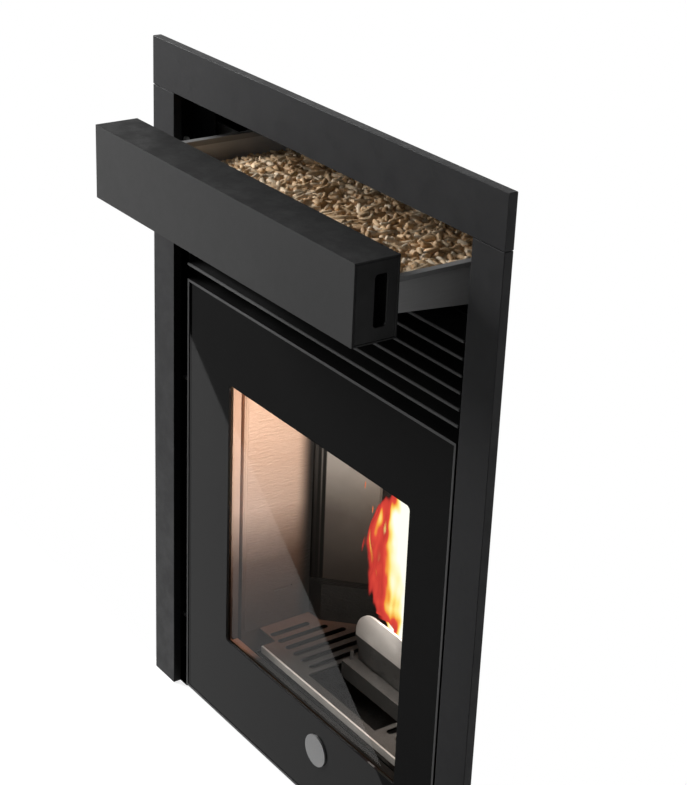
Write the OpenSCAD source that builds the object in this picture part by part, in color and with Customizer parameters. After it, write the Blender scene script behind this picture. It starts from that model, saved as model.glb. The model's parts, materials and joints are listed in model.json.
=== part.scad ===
// Pellet insert: a wood pellet heater that slides into a chimney breast, loaded by a drawer.
// Origin: the centre of the base's anchor holes, on the hearth. +Y runs into the wall, +Z is up.
// Depths named d are measured from the surround's front face, and fy(d) turns them into Y.

/* [Surround] */
// Width of the surround frame
frame_w = 600; // [580:5:680]
// Height of the surround frame
frame_h = 800; // [790:5:860]
// Height of the top bar
top_bar_h = 53; // [46:1:56]
// Width of each side bar
side_bar_w = 44; // [40:1:50]
// Depth of the folded edge of the bars
bar_return = 10; // [8:0.5:12]
// Thickness of the surround's sheet steel
bar_sheet = 2; // [1.5:0.1:2.5]
// Groove between the top bar and a side bar
bar_groove = 0.6; // [0.4:0.1:1.2]
// How far the side bars stand out past the body
side_overlap = 20; // [15:1:24]
// How far the top bar stands above the body
top_overlap = 12; // [8:1:16]

/* [Body] */
// Depth from the surround's front face to the back panel
body_d = 470; // [465:5:520]
// Thickness of the casing's sheet steel
casing_t = 1.5; // [1:0.1:2]
// Height of the insert's floor above the hearth
floor_z = 31; // [31:1:34]
// Thickness of the chassis pan and of the front plate
plate_t = 2; // [1.5:0.1:2.5]
// Width of one casing vent
vent_w = 4; // [3:0.5:6]
// Spacing of the casing vents
vent_pitch = 12; // [10:1:16]

/* [Door] */
// How far the door's face is set back
door_set = 9.5; // [7:0.5:11]
// Thickness of the door
door_d = 25; // [24:0.5:27]
// Gap between the door and a side bar
door_gap = 14; // [12:1:16]
// Height of the door's lower edge
door_z = 3; // [2:0.5:6]
// Width of the edge trim
trim_w = 3.2; // [2:0.1:4]
// Thickness of the front panel
panel_t = 3; // [2:0.1:4]
// Distance from the door's lower edge to the window
window_sill = 111; // [105:1:118]
// Distance from the window to the door's upper edge
window_head = 96; // [90:1:110]
// Distance from the door's hinge edge to the window
window_left = 88.5; // [82:0.5:100]
// Distance from the window to the door's free edge
window_right = 64.5; // [60:0.5:80]
// Corner radius of the window
window_r = 5; // [3:0.5:8]
// Thickness of the ceramic glass
glass_t = 4; // [3:0.5:5]
// Radius of the rope seal
rope_r = 4.2; // [3.8:0.1:4.4]
// Diameter of the hinge pins
pin_d = 8; // [6:0.5:9]
// Diameter of the badge
badge_d = 38; // [30:1:45]

/* [Drawer] */
// Height of the drawer front
drawer_h = 79; // [74:1:82]
// Depth of the drawer front
front_d = 49; // [44:1:54]
// Gap between the drawer front and the body, at each end
drawer_gap = 24; // [22:1:27]
// Gap between the drawer front and the top bar
drawer_top_gap = 13; // [10:1:15]
// How far the drawer is pulled out as built
drawer_out = 117; // [100:1:120]
// Width of the tray
tray_w = 424; // [400:2:430]
// Length of the tray
tray_l = 280; // [270:1:290]
// Height of the tray's side at its front
tray_h = 36; // [32:1:38]
// How much the tray floor drops towards the back
tray_drop = 26; // [18:1:27]
// Distance of the tray's rim below the drawer's top
rim_drop = 28; // [25:1:30]
// Width of the slot in each end cap
slot_w = 14; // [10:1:18]
// Height of the slot in each end cap
slot_h = 50; // [40:1:54]
// Depth of the pellets below the rim
pellet_drop = 9; // [7:1:14]

/* [Hot air grille] */
// Height of the hot air outlet
outlet_h = 105; // [100:1:125]
// Spacing of the grille blades
blade_pitch = 17; // [15:0.5:20]
// Thickness of a blade's front lip
blade_t = 2.6; // [2:0.1:4]
// Rise of a blade towards the back
blade_rise = 9; // [6:1:12]

/* [Firebox] */
// Distance from the door's edges to the firebox's inner walls
fire_margin = 63; // [60:1:70]
// Depth inside the firebox
fire_d = 153; // [150:1:156]
// How far the firebox sits right of the centre
fire_x = 16; // [12:1:18]
// Height of the hearth plate's top
fire_z = 108; // [106:1:112]
// Thickness of the liner plates
liner_t = 2; // [1.5:0.1:3]
// Thickness of the shell
shell_t = 3; // [2.5:0.1:4]
// Size of the slanted corner plates
corner_cut = 55; // [48:1:60]
// How far the low skirts stand in front of the corner plates
skirt_step = 23; // [16:1:25]
// Height of the low skirts
skirt_h = 50; // [40:1:60]
// Radius of the heat exchanger tubes
tube_r = 14; // [12:0.5:16]
// Spacing of the heat exchanger tubes
tube_pitch = 54; // [50:1:58]
// Spacing of the slots in the hearth plate
ash_slot_pitch = 16.3; // [15:0.1:17]
// Width of a slot in the hearth plate
ash_slot_w = 8; // [5:0.5:9]

/* [Burner] */
// Length of the burner pot
pot_w = 106; // [96:1:108]
// Depth of the burner pot
pot_d = 65; // [58:1:66]
// Height of the burner pot
pot_h = 50; // [46:1:54]
// Height of the flame plate above the pot
flame_plate_h = 37; // [34:1:46]
// Corner radius of the flame plate
flame_plate_r = 33; // [24:1:33]
// Height of the burner support above the hearth plate
support_rise = 8; // [6:1:10]
// Width of the support's rim in front of the pot
support_rim = 18; // [10:1:20]

/* [Fuel feed] */
// Outer radius of the auger tube
auger_tube_r = 28; // [26:0.5:30]
// Height of the auger's axis
auger_z = 298; // [292:1:304]
// Pitch of the auger's flight
auger_pitch = 34; // [28:1:40]
// Radius of the pellet chute
chute_r = 23; // [20:0.5:24]
// Width of the hopper
hopper_w = 400; // [360:5:420]

/* [Fans] */
// Radius of the exhaust fan's housing
volute_r = 68; // [62:1:70]
// Radius of the exhaust fan's wheel
exhaust_wheel_r = 56; // [48:1:58]
// Radius of the room fan's wheel
room_wheel_r = 33; // [28:1:35]
// Distance from the firebox's inner walls to the room fan's wheel
room_wheel_gap = 95; // [92:1:110]
// Length of the smoke fan's motor
smoke_motor_l = 46.7; // [40:0.1:48]

/* [Flue and air] */
// Outer radius of the flue spigot
flue_r = 40; // [38:0.5:42]
// Length of the flue spigot outside the back panel
flue_out = 35; // [30:1:40]
// Height of the flue spigot
flue_z = 150; // [146:1:156]
// Outer radius of the combustion air pipe
air_r = 25; // [22:0.5:26]
// Length of the flue socket for the chimney pipe
socket_l = 36; // [30:1:50]

/* [Base] */
// Width of the base tray
base_w = 524; // [510:2:530]
// Depth of the base tray
base_d = 460; // [450:2:470]
// How far the base tray starts behind the surround's front face
base_set = 40; // [40:0.5:44]
// Thickness of the base tray
base_t = 3; // [2:0.5:4]
// Distance between the anchor holes across the base
anchor_x = 460; // [420:5:465]
// Distance between the anchor holes along the base
anchor_y = 400; // [360:5:410]
// Radius of the anchor holes
anchor_r = 4.5; // [3.5:0.5:6]

/* [Hidden] */

$fn = 48;
// Clearance between pieces that are fixed together
fit = 0.2;
// Radial clearance of a turning pin in its hole
run = 0.06;
// Lets a cut pass right through
eps = 1;

// Depths count from the surround's front face
front_y = -(base_set + base_d / 2);
function fy(d) = front_y + d;

// Casing
body_hw = frame_w / 2 - side_overlap;
body_top = frame_h - top_overlap;
casing_in = body_hw - casing_t - fit;
rear_in = body_d - casing_t - fit;
pan_top = floor_z + plate_t;
vent_h = 120;

// Door, and the front plate that it closes on
door_w = frame_w - 2 * side_bar_w - 2 * door_gap;
opening_z = frame_h - top_bar_h - drawer_top_gap - drawer_h - 4;
door_top = opening_z - outlet_h - 8;
panel_in = door_w / 2 - trim_w - fit;
panel_d = door_set + 0.8;
glass_front = panel_d + panel_t + 1.2;
glass_lap = 10;
frame_back = door_set + door_d - fit;
plate_front = door_set + door_d + 2.8;
plate_back = plate_front + plate_t;
window_z = door_z + window_sill;
window_top = door_top - window_head;
window_w = door_w - window_left - window_right;
window_x = (window_left - window_right) / 2;
fire_w = door_w - 2 * fire_margin;
hinge_x = -(door_w / 2 - 8);
hinge_d = door_set + 12.5;
hinge_zs = [door_z + 75, door_top - 75];
knuckle_r = pin_d / 2 + 3;
latch_d = door_set + 9.2;
latch_z = door_z + 67;
badge_x = 37;
badge_z = door_z + 70;
rope_d = plate_front - rope_r - 0.3;
rope_bend = 16;

// Surround
bar_top_z = frame_h - top_bar_h;
bar_foot = 1;
bracket_zs = [80, frame_h / 2, bar_top_z - 60];
bracket_h = 40;
screw_d = bar_return + 18;

// Drawer
drawer_w = frame_w - 2 * side_bar_w - 2 * drawer_gap;
drawer_top = bar_top_z - drawer_top_gap;
drawer_z = drawer_top - drawer_h;
drawer_d = door_set - drawer_out;
slot_set = 29.5;
tray_t = 1.5;
tray_front = drawer_d + front_d;
tray_back = tray_front + tray_l;
rim_z = drawer_top - rim_drop;
roller_r = 8;
roller_gap = 0.4;
roller_play = 2;
channel_t = 2;
channel_w = 13;
channel_x = tray_w / 2 + 2;
channel_z = rim_z - 28;
channel_h = 2 * channel_t + roller_gap + 2 * roller_r + roller_play;
channel_front = tray_front + drawer_out + 0.6;
channel_back = tray_back + drawer_out + 12;
roller_pin_r = 3;
roller_d = tray_back - 14;
roller_z = channel_z + channel_t + roller_gap + roller_r;

// Hot air grille between the door and the drawer
grille_z = door_top + 6;
vent_z = grille_z + 16;
blade_n = floor((outlet_h - 11) / blade_pitch) + 1;
blade_set = plate_front - door_set - 1;

// Firebox
mouth_z = fire_z - 38;
mouth_top = door_top - 60;
shell_front = plate_back + fit;
shell_in = fire_w / 2 + liner_t + fit;
shell_out = shell_in + shell_t;
shell_z = mouth_z - shell_t;
shell_top = opening_z - 11;
fire_back = plate_back + fire_d;
shell_back = fire_back + liner_t + shell_t + fit;
hearth_front = plate_back + 4.2;
tube_xs = [for (i = [-2.5:1:2.5]) fire_x + i * tube_pitch];
tube_zs = [shell_top - 36, shell_top - 76];
liner_top = tube_zs[1] - 30;
baffle_z = tube_zs[1] - 42;

// The rope seal's middle line, on the front plate round the firebox's mouth
rope_x0 = fire_x - fire_w / 2 - 17;
rope_x1 = fire_x + fire_w / 2 + 17;
rope_z0 = mouth_z - 12;
rope_z1 = mouth_top + 12;

// Burner
pot_back = fire_back - 10;
pot_front = pot_back - pot_d;
pot_floor = fire_z - 10;
support_top = fire_z + support_rise;
support_front = pot_front - support_rim;
igniter_z = pot_floor + 12;

// Fuel feed
duct_back = shell_back + 13;
duct_half = fire_w / 2 - 13;
hopper_front = duct_back + 2;
hopper_back = body_d - 30;
hopper_top = opening_z - 12;
hopper_sill = auger_z + auger_tube_r + 6;
auger_back = hopper_back - 40;
neck_d = auger_back - 71.5;
auger_r = auger_tube_r - 4;
flight_l = auger_back - hopper_front - 22;
outlet_d = hopper_front + 29;

// Fans, flue and air
volute_x = fire_x + fire_w / 2 + 6;
volute_w = 46;
volute_in = volute_x - volute_w / 2;
volute_out = volute_x + volute_w / 2;
volute_d = body_d - 100;
volute_z = flue_z - 35;
inlet_r = 26;
room_x = fire_x + 5;
room_wheel_l = fire_w - 2 * room_wheel_gap;
room_l = room_wheel_l + 14;
room_mouth = room_l / 2 - 13;
room_d = duct_back + 65;
room_z = floor_z + 61;
air_x = fire_x - shell_out + air_r + 6;
air_z = shell_z + air_r + 2;
sleeve_front = body_d + 8;
sleeve_stop = body_d + flue_out + 3;
bracket_d = body_d + 14;

// Control box and the mains column on the back
control_z = auger_z + 82;
inlet_x = -body_hw + 50;
inlet_z = 120;
switch_z = inlet_z + 42;
switch_d = body_d - 3;
switch_w = 8;
switch_tilt = 8;
reset_z = switch_z + 34;

// Base
rail_z = base_t + 1;
rail_h = 24;
rail_t = 2;
rail_out = base_w / 2 - base_t - fit;
rail_in = rail_out - 13;
base_back = base_set + base_d;

// A box from its lowest to its highest corner
module block(lo, hi) translate(lo) cube([for (i = [0:2]) hi[i] - lo[i]]);

// Round bars along each axis
module rod_x(r, x0, x1, d, z) translate([x0, fy(d), z]) rotate([0, 90, 0]) cylinder(r = r, h = x1 - x0);
module rod_y(r, d0, d1, x, z) translate([x, fy(d0), z]) rotate([-90, 0, 0]) cylinder(r = r, h = d1 - d0);
module rod_z(r, z0, z1, x, d) translate([x, fy(d), z0]) cylinder(r = r, h = z1 - z0);

// A plate that faces the front, with rounded corners, from x0, z0 to x1, z1
module rounded_plate(x0, z0, x1, z1, r, d0, d1) {
    translate([0, fy(d1), 0]) rotate([90, 0, 0]) linear_extrude(d1 - d0) rounded_rect(x0, z0, x1, z1, r);
}
module rounded_rect(x0, z0, x1, z1, r) {
    translate([x0 + r, z0]) square([x1 - x0 - 2 * r, z1 - z0]);
    translate([x0, z0 + r]) square([x1 - x0, z1 - z0 - 2 * r]);
    for (x = [x0 + r, x1 - r], z = [z0 + r, z1 - r]) translate([x, z]) circle(r = r);
}
// A frame of boxes that faces the front, w wide inwards
module frame_ring(x0, z0, x1, z1, w, d0, d1) difference() {
    block([x0, fy(d0), z0], [x1, fy(d1), z1]);
    block([x0 + w, fy(d0 - eps), z0 + w], [x1 - w, fy(d1 + eps), z1 - w]);
}

// A side outline, given as depths and heights, drawn out from x0 to x1
module prism_x(x0, x1, pts) translate([x0, 0, 0]) rotate([90, 0, 90])
    linear_extrude(x1 - x0) polygon([for (p = pts) [fy(p[0]), p[1]]]);

// Fixed base

module base_tray() color("dimgray") difference() {
    union() {
        block([-base_w / 2, fy(base_set), 0], [base_w / 2, fy(base_back), base_t]);
        for (s = [0, 1]) mirror([s, 0, 0])
            block([base_w / 2 - base_t, fy(base_set), 0],
                [base_w / 2, fy(base_back), rail_z + rail_h + 1]);
        for (s = [0, 1]) mirror([s, 0, 0])
            block([rail_in, fy(base_set + 4), base_t], [rail_out, fy(base_set + 30), rail_z]);
        for (s = [0, 1]) mirror([s, 0, 0])
            block([rail_in, fy(base_back - 60), base_t], [rail_out, fy(base_back - 30), rail_z]);
    }
    for (x = [-1, 1], y = [-1, 1])
        translate([x * anchor_x / 2, y * anchor_y / 2, -eps])
            cylinder(r = anchor_r, h = base_t + 2 * eps);
}

module slide_rails() color("silver") for (s = [0, 1]) mirror([s, 0, 0])
    translate([0, fy(body_d - 5), 0]) rotate([90, 0, 0])
    linear_extrude(body_d - 10 - base_set) difference() {
        translate([rail_in, rail_z]) square([rail_out - rail_in, rail_h]);
        translate([rail_in - eps, rail_z + rail_t])
            square([rail_out - rail_in - rail_t + eps, rail_h - 2 * rail_t]);
    }

module flue_bracket() color("dimgray") difference() {
    union() {
        block([volute_x - 55, fy(bracket_d), base_t], [volute_x + 55, fy(bracket_d + 3), flue_z + 60]);
        for (x = [volute_x - 55, volute_x + 52])
            block([x, fy(body_d + 5), base_t], [x + 3, fy(bracket_d + 3), 40]);
    }
    rod_y(flue_r + 3 + fit, bracket_d - eps, bracket_d + 4, volute_x, flue_z);
}

// The insert's spigot slides into the front of the sleeve, and the chimney pipe into its back
module flue_sleeve() color("silver") difference() {
    union() {
        rod_y(flue_r + 3, sleeve_front, sleeve_stop + 3 + socket_l, volute_x, flue_z);
        rod_y(flue_r + 9, bracket_d + 3 + fit, bracket_d + 6, volute_x, flue_z);
    }
    rod_y(flue_r + 0.4, sleeve_front - eps, sleeve_stop, volute_x, flue_z);
    rod_y(flue_r - 3, sleeve_front, sleeve_stop + 4, volute_x, flue_z);
    rod_y(flue_r + 0.3, sleeve_stop + 3, sleeve_stop + 4 + socket_l, volute_x, flue_z);
}

// Casing

module chassis_pan() color("dimgray") {
    block([-casing_in, fy(plate_back + fit), floor_z], [casing_in, fy(rear_in), floor_z + plate_t]);
    for (x = [fire_x - shell_out, fire_x + shell_out - 30])
        block([x, fy(shell_front + 10), floor_z + plate_t], [x + 30, fy(shell_back - 10), shell_z - fit]);
}

module slide_runners() color("silver") for (s = [0, 1]) mirror([s, 0, 0])
    translate([0, fy(body_d - 10), 0]) rotate([90, 0, 0]) linear_extrude(body_d - 20 - base_set) {
        translate([rail_in - 5, rail_z + rail_t + 0.3]) square([4, floor_z - fit - rail_z - rail_t - 0.3]);
        translate([rail_in - 5, rail_z + rail_t + 0.3]) square([15, rail_h - 2 * rail_t - 0.6]);
    }

module side_panel() difference() {
    block([body_hw - casing_t, fy(bar_return + fit), floor_z], [body_hw, fy(body_d), body_top]);
    for (i = [0:9])
        block([body_hw - casing_t - eps, fy(body_d - 60 - i * vent_pitch), vent_z],
            [body_hw + eps, fy(body_d - 60 - i * vent_pitch + vent_w), vent_z + vent_h]);
    for (i = [0:13])
        block([body_hw - casing_t - eps, fy(body_d - 60 - i * vent_pitch), floor_z + 40],
            [body_hw + eps, fy(body_d - 60 - i * vent_pitch + vent_w), floor_z + 120]);
    for (z = bracket_zs) rod_x(2.7, body_hw - casing_t - eps, body_hw + eps, screw_d, z);
}
module side_panel_left() color("darkgray") mirror([1, 0, 0]) side_panel();
module side_panel_right() color("darkgray") side_panel();

module top_panel() color("darkgray") difference() {
    block([-casing_in, fy(bar_return + fit), body_top - casing_t], [casing_in, fy(rear_in), body_top]);
    for (i = [-12:12])
        block([i * 2 * vent_pitch * 0.75, fy(body_d - 130), body_top - casing_t - eps],
            [i * 2 * vent_pitch * 0.75 + vent_w, fy(body_d - 60), body_top + eps]);
}

module rear_panel() color("darkgray") difference() {
    block([-casing_in, fy(body_d - casing_t), floor_z], [casing_in, fy(body_d), body_top]);
    rod_y(flue_r + 1, body_d - 3, body_d + eps, volute_x, flue_z);
    rod_y(air_r + 0.5, body_d - 3, body_d + eps, air_x, air_z);
    block([inlet_x - 14, fy(body_d - 3), inlet_z - 12], [inlet_x + 14, fy(body_d + eps), inlet_z + 12]);
    block([inlet_x - 10, fy(body_d - 3), switch_z - 13], [inlet_x + 10, fy(body_d + eps), switch_z + 13]);
    rod_y(8, body_d - 3, body_d + eps, inlet_x, reset_z);
    for (i = [-7:7])
        block([room_x + i * vent_pitch, fy(body_d - 3), room_z - 20],
            [room_x + i * vent_pitch + vent_w, fy(body_d + eps), room_z + 60]);
    for (i = [-14:14])
        block([i * vent_pitch, fy(body_d - 3), vent_z],
            [i * vent_pitch + vent_w, fy(body_d + eps), vent_z + vent_h]);
}

module front_plate() color("black") difference() {
    block([-casing_in, fy(plate_front), door_z], [casing_in, fy(plate_back), body_top - casing_t - fit]);
    block([fire_x - fire_w / 2, fy(plate_front - eps), mouth_z],
        [fire_x + fire_w / 2, fy(plate_back + eps), mouth_top]);
    block([-door_w / 2 + 4, fy(plate_front - eps), grille_z + 2],
        [door_w / 2 - 4, fy(plate_back + eps), grille_z + outlet_h - 2]);
    block([-drawer_w / 2 - 1.5, fy(plate_front - eps), opening_z],
        [drawer_w / 2 + 1.5, fy(plate_back + eps), drawer_top + 3]);
}

// Surround: folded channels of sheet steel

module bar(x0, x1, z0, z1) difference() {
    block([x0, front_y, z0], [x1, fy(bar_return), z1]);
    block([x0 + bar_sheet, fy(bar_sheet), z0 + bar_sheet],
        [x1 - bar_sheet, fy(bar_return + eps), z1 - bar_sheet]);
}
module surround_top() color("#3a3a3c") bar(-frame_w / 2, frame_w / 2, bar_top_z, frame_h);
module surround_left() color("#3a3a3c")
    bar(-frame_w / 2, -frame_w / 2 + side_bar_w, bar_foot, bar_top_z - bar_groove);
module surround_right() color("#3a3a3c")
    bar(frame_w / 2 - side_bar_w, frame_w / 2, bar_foot, bar_top_z - bar_groove);

module surround_brackets() color("silver") {
    for (s = [0, 1], z = bracket_zs) mirror([s, 0, 0]) difference() {
        union() {
            block([body_hw + fit, fy(bar_sheet + fit), z - bracket_h / 2],
                [body_hw + 2.2, fy(bar_return + 30), z + bracket_h / 2]);
            block([body_hw + fit, fy(bar_sheet + fit), z - bracket_h / 2],
                [frame_w / 2 - bar_sheet - 1, fy(bar_sheet + 2.2), z + bracket_h / 2]);
        }
        rod_x(2.7, body_hw - eps, body_hw + 4, screw_d, z);
    }
    for (x = [-frame_w / 3, 0, frame_w / 3]) {
        block([x - bracket_h / 2, fy(bar_sheet + fit), bar_top_z + bar_sheet + 4],
            [x + bracket_h / 2, fy(bar_sheet + 2.2), body_top + 2.2]);
        block([x - bracket_h / 2, fy(bar_sheet + fit), body_top + fit],
            [x + bracket_h / 2, fy(bar_return + 30), body_top + 2.2]);
    }
}
module surround_screws() color("silver") for (s = [0, 1], z = bracket_zs) mirror([s, 0, 0]) {
    rod_x(2.6, body_hw - 6, body_hw + 2.8, screw_d, z);
    rod_x(4.8, body_hw + 2.3, body_hw + 5, screw_d, z);
}

// Hot air grille between the door and the drawer

module hot_air_grille() color("#4a4a4a") {
    for (i = [0:blade_n - 1]) translate([0, 0, grille_z + 10 + i * blade_pitch])
        prism_x(-door_w / 2, door_w / 2, [[door_set, 0], [door_set + blade_t + 1, 0],
            [door_set + blade_set, blade_rise], [door_set + blade_set, blade_rise + 1.4],
            [door_set + blade_t, blade_t], [door_set, blade_t]]);
    for (s = [0, 1]) mirror([s, 0, 0]) {
        block([door_w / 2, fy(door_set + 3), grille_z + 4],
            [door_w / 2 + 2, fy(plate_front - fit), grille_z + outlet_h + 1]);
        block([door_w / 2, fy(plate_front - 2), grille_z + 4],
            [door_w / 2 + 12, fy(plate_front - fit), grille_z + outlet_h + 1]);
    }
}

// Firebox

// The slanted bore of the pellet chute, cut wider by grow
module chute_bore(grow) translate([fire_x, fy(outlet_d + 2), auger_z - 10]) rotate([135, 0, 0])
    cylinder(r = chute_r + grow, h = 150);

module firebox_shell() color("#3c3836") difference() {
    block([fire_x - shell_out, fy(shell_front), shell_z],
        [fire_x + shell_out, fy(shell_back), shell_top]);
    block([fire_x - shell_in, fy(shell_front + shell_t), mouth_z],
        [fire_x + shell_in, fy(shell_back - shell_t), shell_top - shell_t]);
    block([fire_x - fire_w / 2, fy(shell_front - eps), mouth_z],
        [fire_x + fire_w / 2, fy(shell_front + shell_t + eps), mouth_top]);
    for (x = tube_xs, z = tube_zs) rod_y(tube_r + fit, shell_front - eps, shell_back + eps, x, z);
    chute_bore(fit);
    rod_y(air_r - 2, shell_back - 5, shell_back + eps, air_x, air_z);
    rod_y(6.2, shell_back - 5, shell_back + eps, fire_x, igniter_z);
    block([fire_x + fire_w / 2 - 61, fy(shell_back - 5), volute_z - 25],
        [fire_x + fire_w / 2 - 23, fy(shell_back + eps), volute_z + 20]);
}

module firebox_liners() color("#b98a68") {
    for (s = [-1, 1]) {
        x = fire_x + s * (fire_w / 2 + liner_t / 2);
        difference() {
            block([x - liner_t / 2, fy(shell_front + shell_t + fit), fire_z + fit],
                [x + liner_t / 2, fy(fire_back), liner_top]);
            block([x - liner_t, fy(shell_front + 44), fire_z + 44],
                [x + liner_t, fy(shell_front + 69), fire_z + 47]);
        }
    }
    difference() {
        block([fire_x - fire_w / 2 - liner_t, fy(fire_back + fit / 2), fire_z + fit],
            [fire_x + fire_w / 2 + liner_t, fy(fire_back + liner_t), liner_top]);
        chute_bore(fit);
        rod_y(6.2, fire_back - eps, fire_back + liner_t + eps, fire_x, igniter_z);
    }
}

// A corner plate in plan: an upright sheet across the corner, with a small flange at each end
module corner_plan() polygon([
    [fit, 0.3 - corner_cut], [fit, -corner_cut - 4], [4, -corner_cut - 4], [13, -corner_cut + 7],
    [corner_cut + 4, -4], [corner_cut + 4, -fit],
        [corner_cut, -fit], [11, -corner_cut + 11], [2, -corner_cut]]);
module corner_liners() color("#85817c") for (s = [-1, 1])
    translate([fire_x - s * fire_w / 2, fy(fire_back), fire_z + skirt_h + fit])
        mirror([s > 0 ? 0 : 1, 0, 0]) linear_extrude(liner_top - fire_z - skirt_h - fit) corner_plan();

module corner_skirts() color("#4b4744") for (s = [-1, 1])
    translate([fire_x - s * fire_w / 2, fy(fire_back), fire_z + fit]) mirror([s > 0 ? 0 : 1, 0, 0])
        linear_extrude(skirt_h - fit) polygon([[fit, -fit], [fit, -corner_cut - 4],
            [skirt_step, -corner_cut - 2], [skirt_step + corner_cut + 2 - fit, -fit]]);

module hearth_plate() color("#5f5a55") difference() {
    union() {
        block([fire_x - fire_w / 2 + fit, fy(hearth_front), fire_z - 3],
            [fire_x + fire_w / 2 - fit, fy(fire_back), fire_z]);
        block([fire_x - fire_w / 2 + 35, fy(hearth_front), fire_z - 9],
            [fire_x + fire_w / 2 - 35, fy(hearth_front + 2.5), fire_z]);
    }
    for (s = [0, 1]) translate([fire_x, 0, 0]) mirror([s, 0, 0]) {
        for (i = [0:5]) {
            x = -fire_w / 2 + 21.4 + i * ash_slot_pitch;
            d0 = hearth_front + 26;
            d1 = min(hearth_front + 73 + i * ash_slot_pitch * 0.92, fire_back - 16);
            for (d = [d0, d1]) rod_z(ash_slot_w / 2, fire_z - 4, fire_z + 1, x, d);
            block([x - ash_slot_w / 2, fy(d0), fire_z - 4], [x + ash_slot_w / 2, fy(d1), fire_z + 1]);
        }
        block([-fire_w / 2 - eps, fy(hearth_front - eps), fire_z - 10],
            [-fire_w / 2 + 35, fy(hearth_front + 20), fire_z + eps]);
    }
    block([fire_x - pot_w / 2 - 12, fy(hearth_front + 13), fire_z - 4],
        [fire_x + pot_w / 2 + 12, fy(pot_back + 4.3), fire_z + eps]);
    block([fire_x - 5.5, fy(pot_back), fire_z - 4], [fire_x + 5.5, fy(fire_back + eps), fire_z + eps]);
}

module baffle_plate() color("#4b4744")
    translate([fire_x - fire_w / 2 + fit, fy(shell_front + 30), baffle_z])
        rotate([-12, 0, 0]) linear_extrude(4) baffle_plan(fire_w - 2 * fit, fire_d - 40, corner_cut);

// The baffle in plan, with its back corners cut away round the corner liners
module baffle_plan(w, l, c) polygon([[0, 0], [w, 0], [w, l - c], [w - c, l], [c, l], [0, l - c]]);

module exchanger_tubes() color("#555555") for (x = tube_xs, z = tube_zs) difference() {
    rod_y(tube_r, shell_front, shell_back, x, z);
    rod_y(tube_r - 1.5, shell_front - eps, shell_back + eps, x, z);
}

module air_duct() color("silver") difference() {
    block([fire_x - duct_half, fy(shell_back + fit), flue_z + 2],
        [fire_x + duct_half, fy(duct_back), shell_top]);
    block([fire_x - duct_half + 1.5, fy(shell_back), flue_z],
        [fire_x + duct_half - 1.5, fy(duct_back - 1.5), shell_top - 1.5]);
    chute_bore(0.6);
}

module ash_pan() color("#555555") difference() {
    block([fire_x - 158, fy(shell_front + 4), mouth_z + fit],
        [fire_x + 158, fy(fire_back - 16), mouth_z + 23]);
    block([fire_x - 156.5, fy(shell_front + 5.5), mouth_z + 1.7],
        [fire_x + 156.5, fy(fire_back - 17.5), mouth_z + 24]);
}

// Burner

module burner_support() color("#5a5652") {
    difference() {
        block([fire_x - pot_w / 2 - 7, fy(support_front), mouth_z + 25],
            [fire_x + pot_w / 2 + 7, fy(pot_back + 4), support_top]);
        block([fire_x - pot_w / 2 - 5, fy(support_front + 2), mouth_z + 24],
            [fire_x + pot_w / 2 + 5, fy(pot_back + 2), support_top - 2]);
        block([fire_x - pot_w / 2 - 0.7, fy(pot_front - 0.7), mouth_z + 24],
            [fire_x + pot_w / 2 + 0.7, fy(pot_back + 0.7), support_top + eps]);
    }
    for (s = [0, 1]) translate([fire_x, 0, 0]) mirror([s, 0, 0]) {
        block([pot_w / 2 + 6, fy(pot_front + 8), fire_z + fit],
            [pot_w / 2 + 18, fy(pot_back - 8), fire_z + 2.2]);
        translate([pot_w / 2 + 2.5, fy(pot_front - 7), support_top - eps]) cylinder(r = 2, h = 12);
    }
}

module burner_pot() color("#6b6763") {
    difference() {
        block([fire_x - pot_w / 2, fy(pot_front), pot_floor],
            [fire_x + pot_w / 2, fy(pot_back), pot_floor + pot_h]);
        block([fire_x - pot_w / 2 + 3, fy(pot_front + 3), pot_floor + 3],
            [fire_x + pot_w / 2 - 3, fy(pot_back - 3), pot_floor + pot_h + eps]);
        for (i = [-3:3], j = [0:2])
            rod_z(2.6, pot_floor - eps, pot_floor + 4, fire_x + i * 13, pot_front + 16 + j * 15);
    }
    for (s = [0, 1]) translate([fire_x, 0, 0]) mirror([s, 0, 0])
        block([pot_w / 2 - eps, fy(pot_front + 10), support_top + 0.3],
            [pot_w / 2 + 4, fy(pot_back - 10), support_top + 2.3]);
    flame_w = pot_w / 2 + 3;
    plate_z = pot_floor + pot_h - 3;
    plate_top = pot_floor + pot_h + flame_plate_h;
    translate([fire_x, fy(pot_front + 0.5), 0]) rotate([90, 0, 0]) linear_extrude(3) {
        translate([-flame_w, plate_z]) square([2 * flame_w, plate_top - flame_plate_r - plate_z]);
        translate([-flame_w + flame_plate_r, plate_z])
            square([2 * (flame_w - flame_plate_r), plate_top - plate_z]);
        for (s = [-1, 1]) translate([s * (flame_w - flame_plate_r), plate_top - flame_plate_r])
            circle(r = flame_plate_r);
    }
}

module igniter() color("silver") {
    rod_y(5, pot_back + 4.5, room_d - 50, fire_x, igniter_z);
    rod_y(7, shell_back + fit, shell_back + 5, fire_x, igniter_z);
}

module air_intake_tube() color("silver") difference() {
    union() {
        rod_y(air_r, shell_back + fit, body_d + 32, air_x, air_z);
        rod_y(air_r + 6, body_d + fit, body_d + 2.5, air_x, air_z);
    }
    rod_y(air_r - 1.5, shell_back - eps, body_d + 40, air_x, air_z);
}

// Fuel feed

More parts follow.
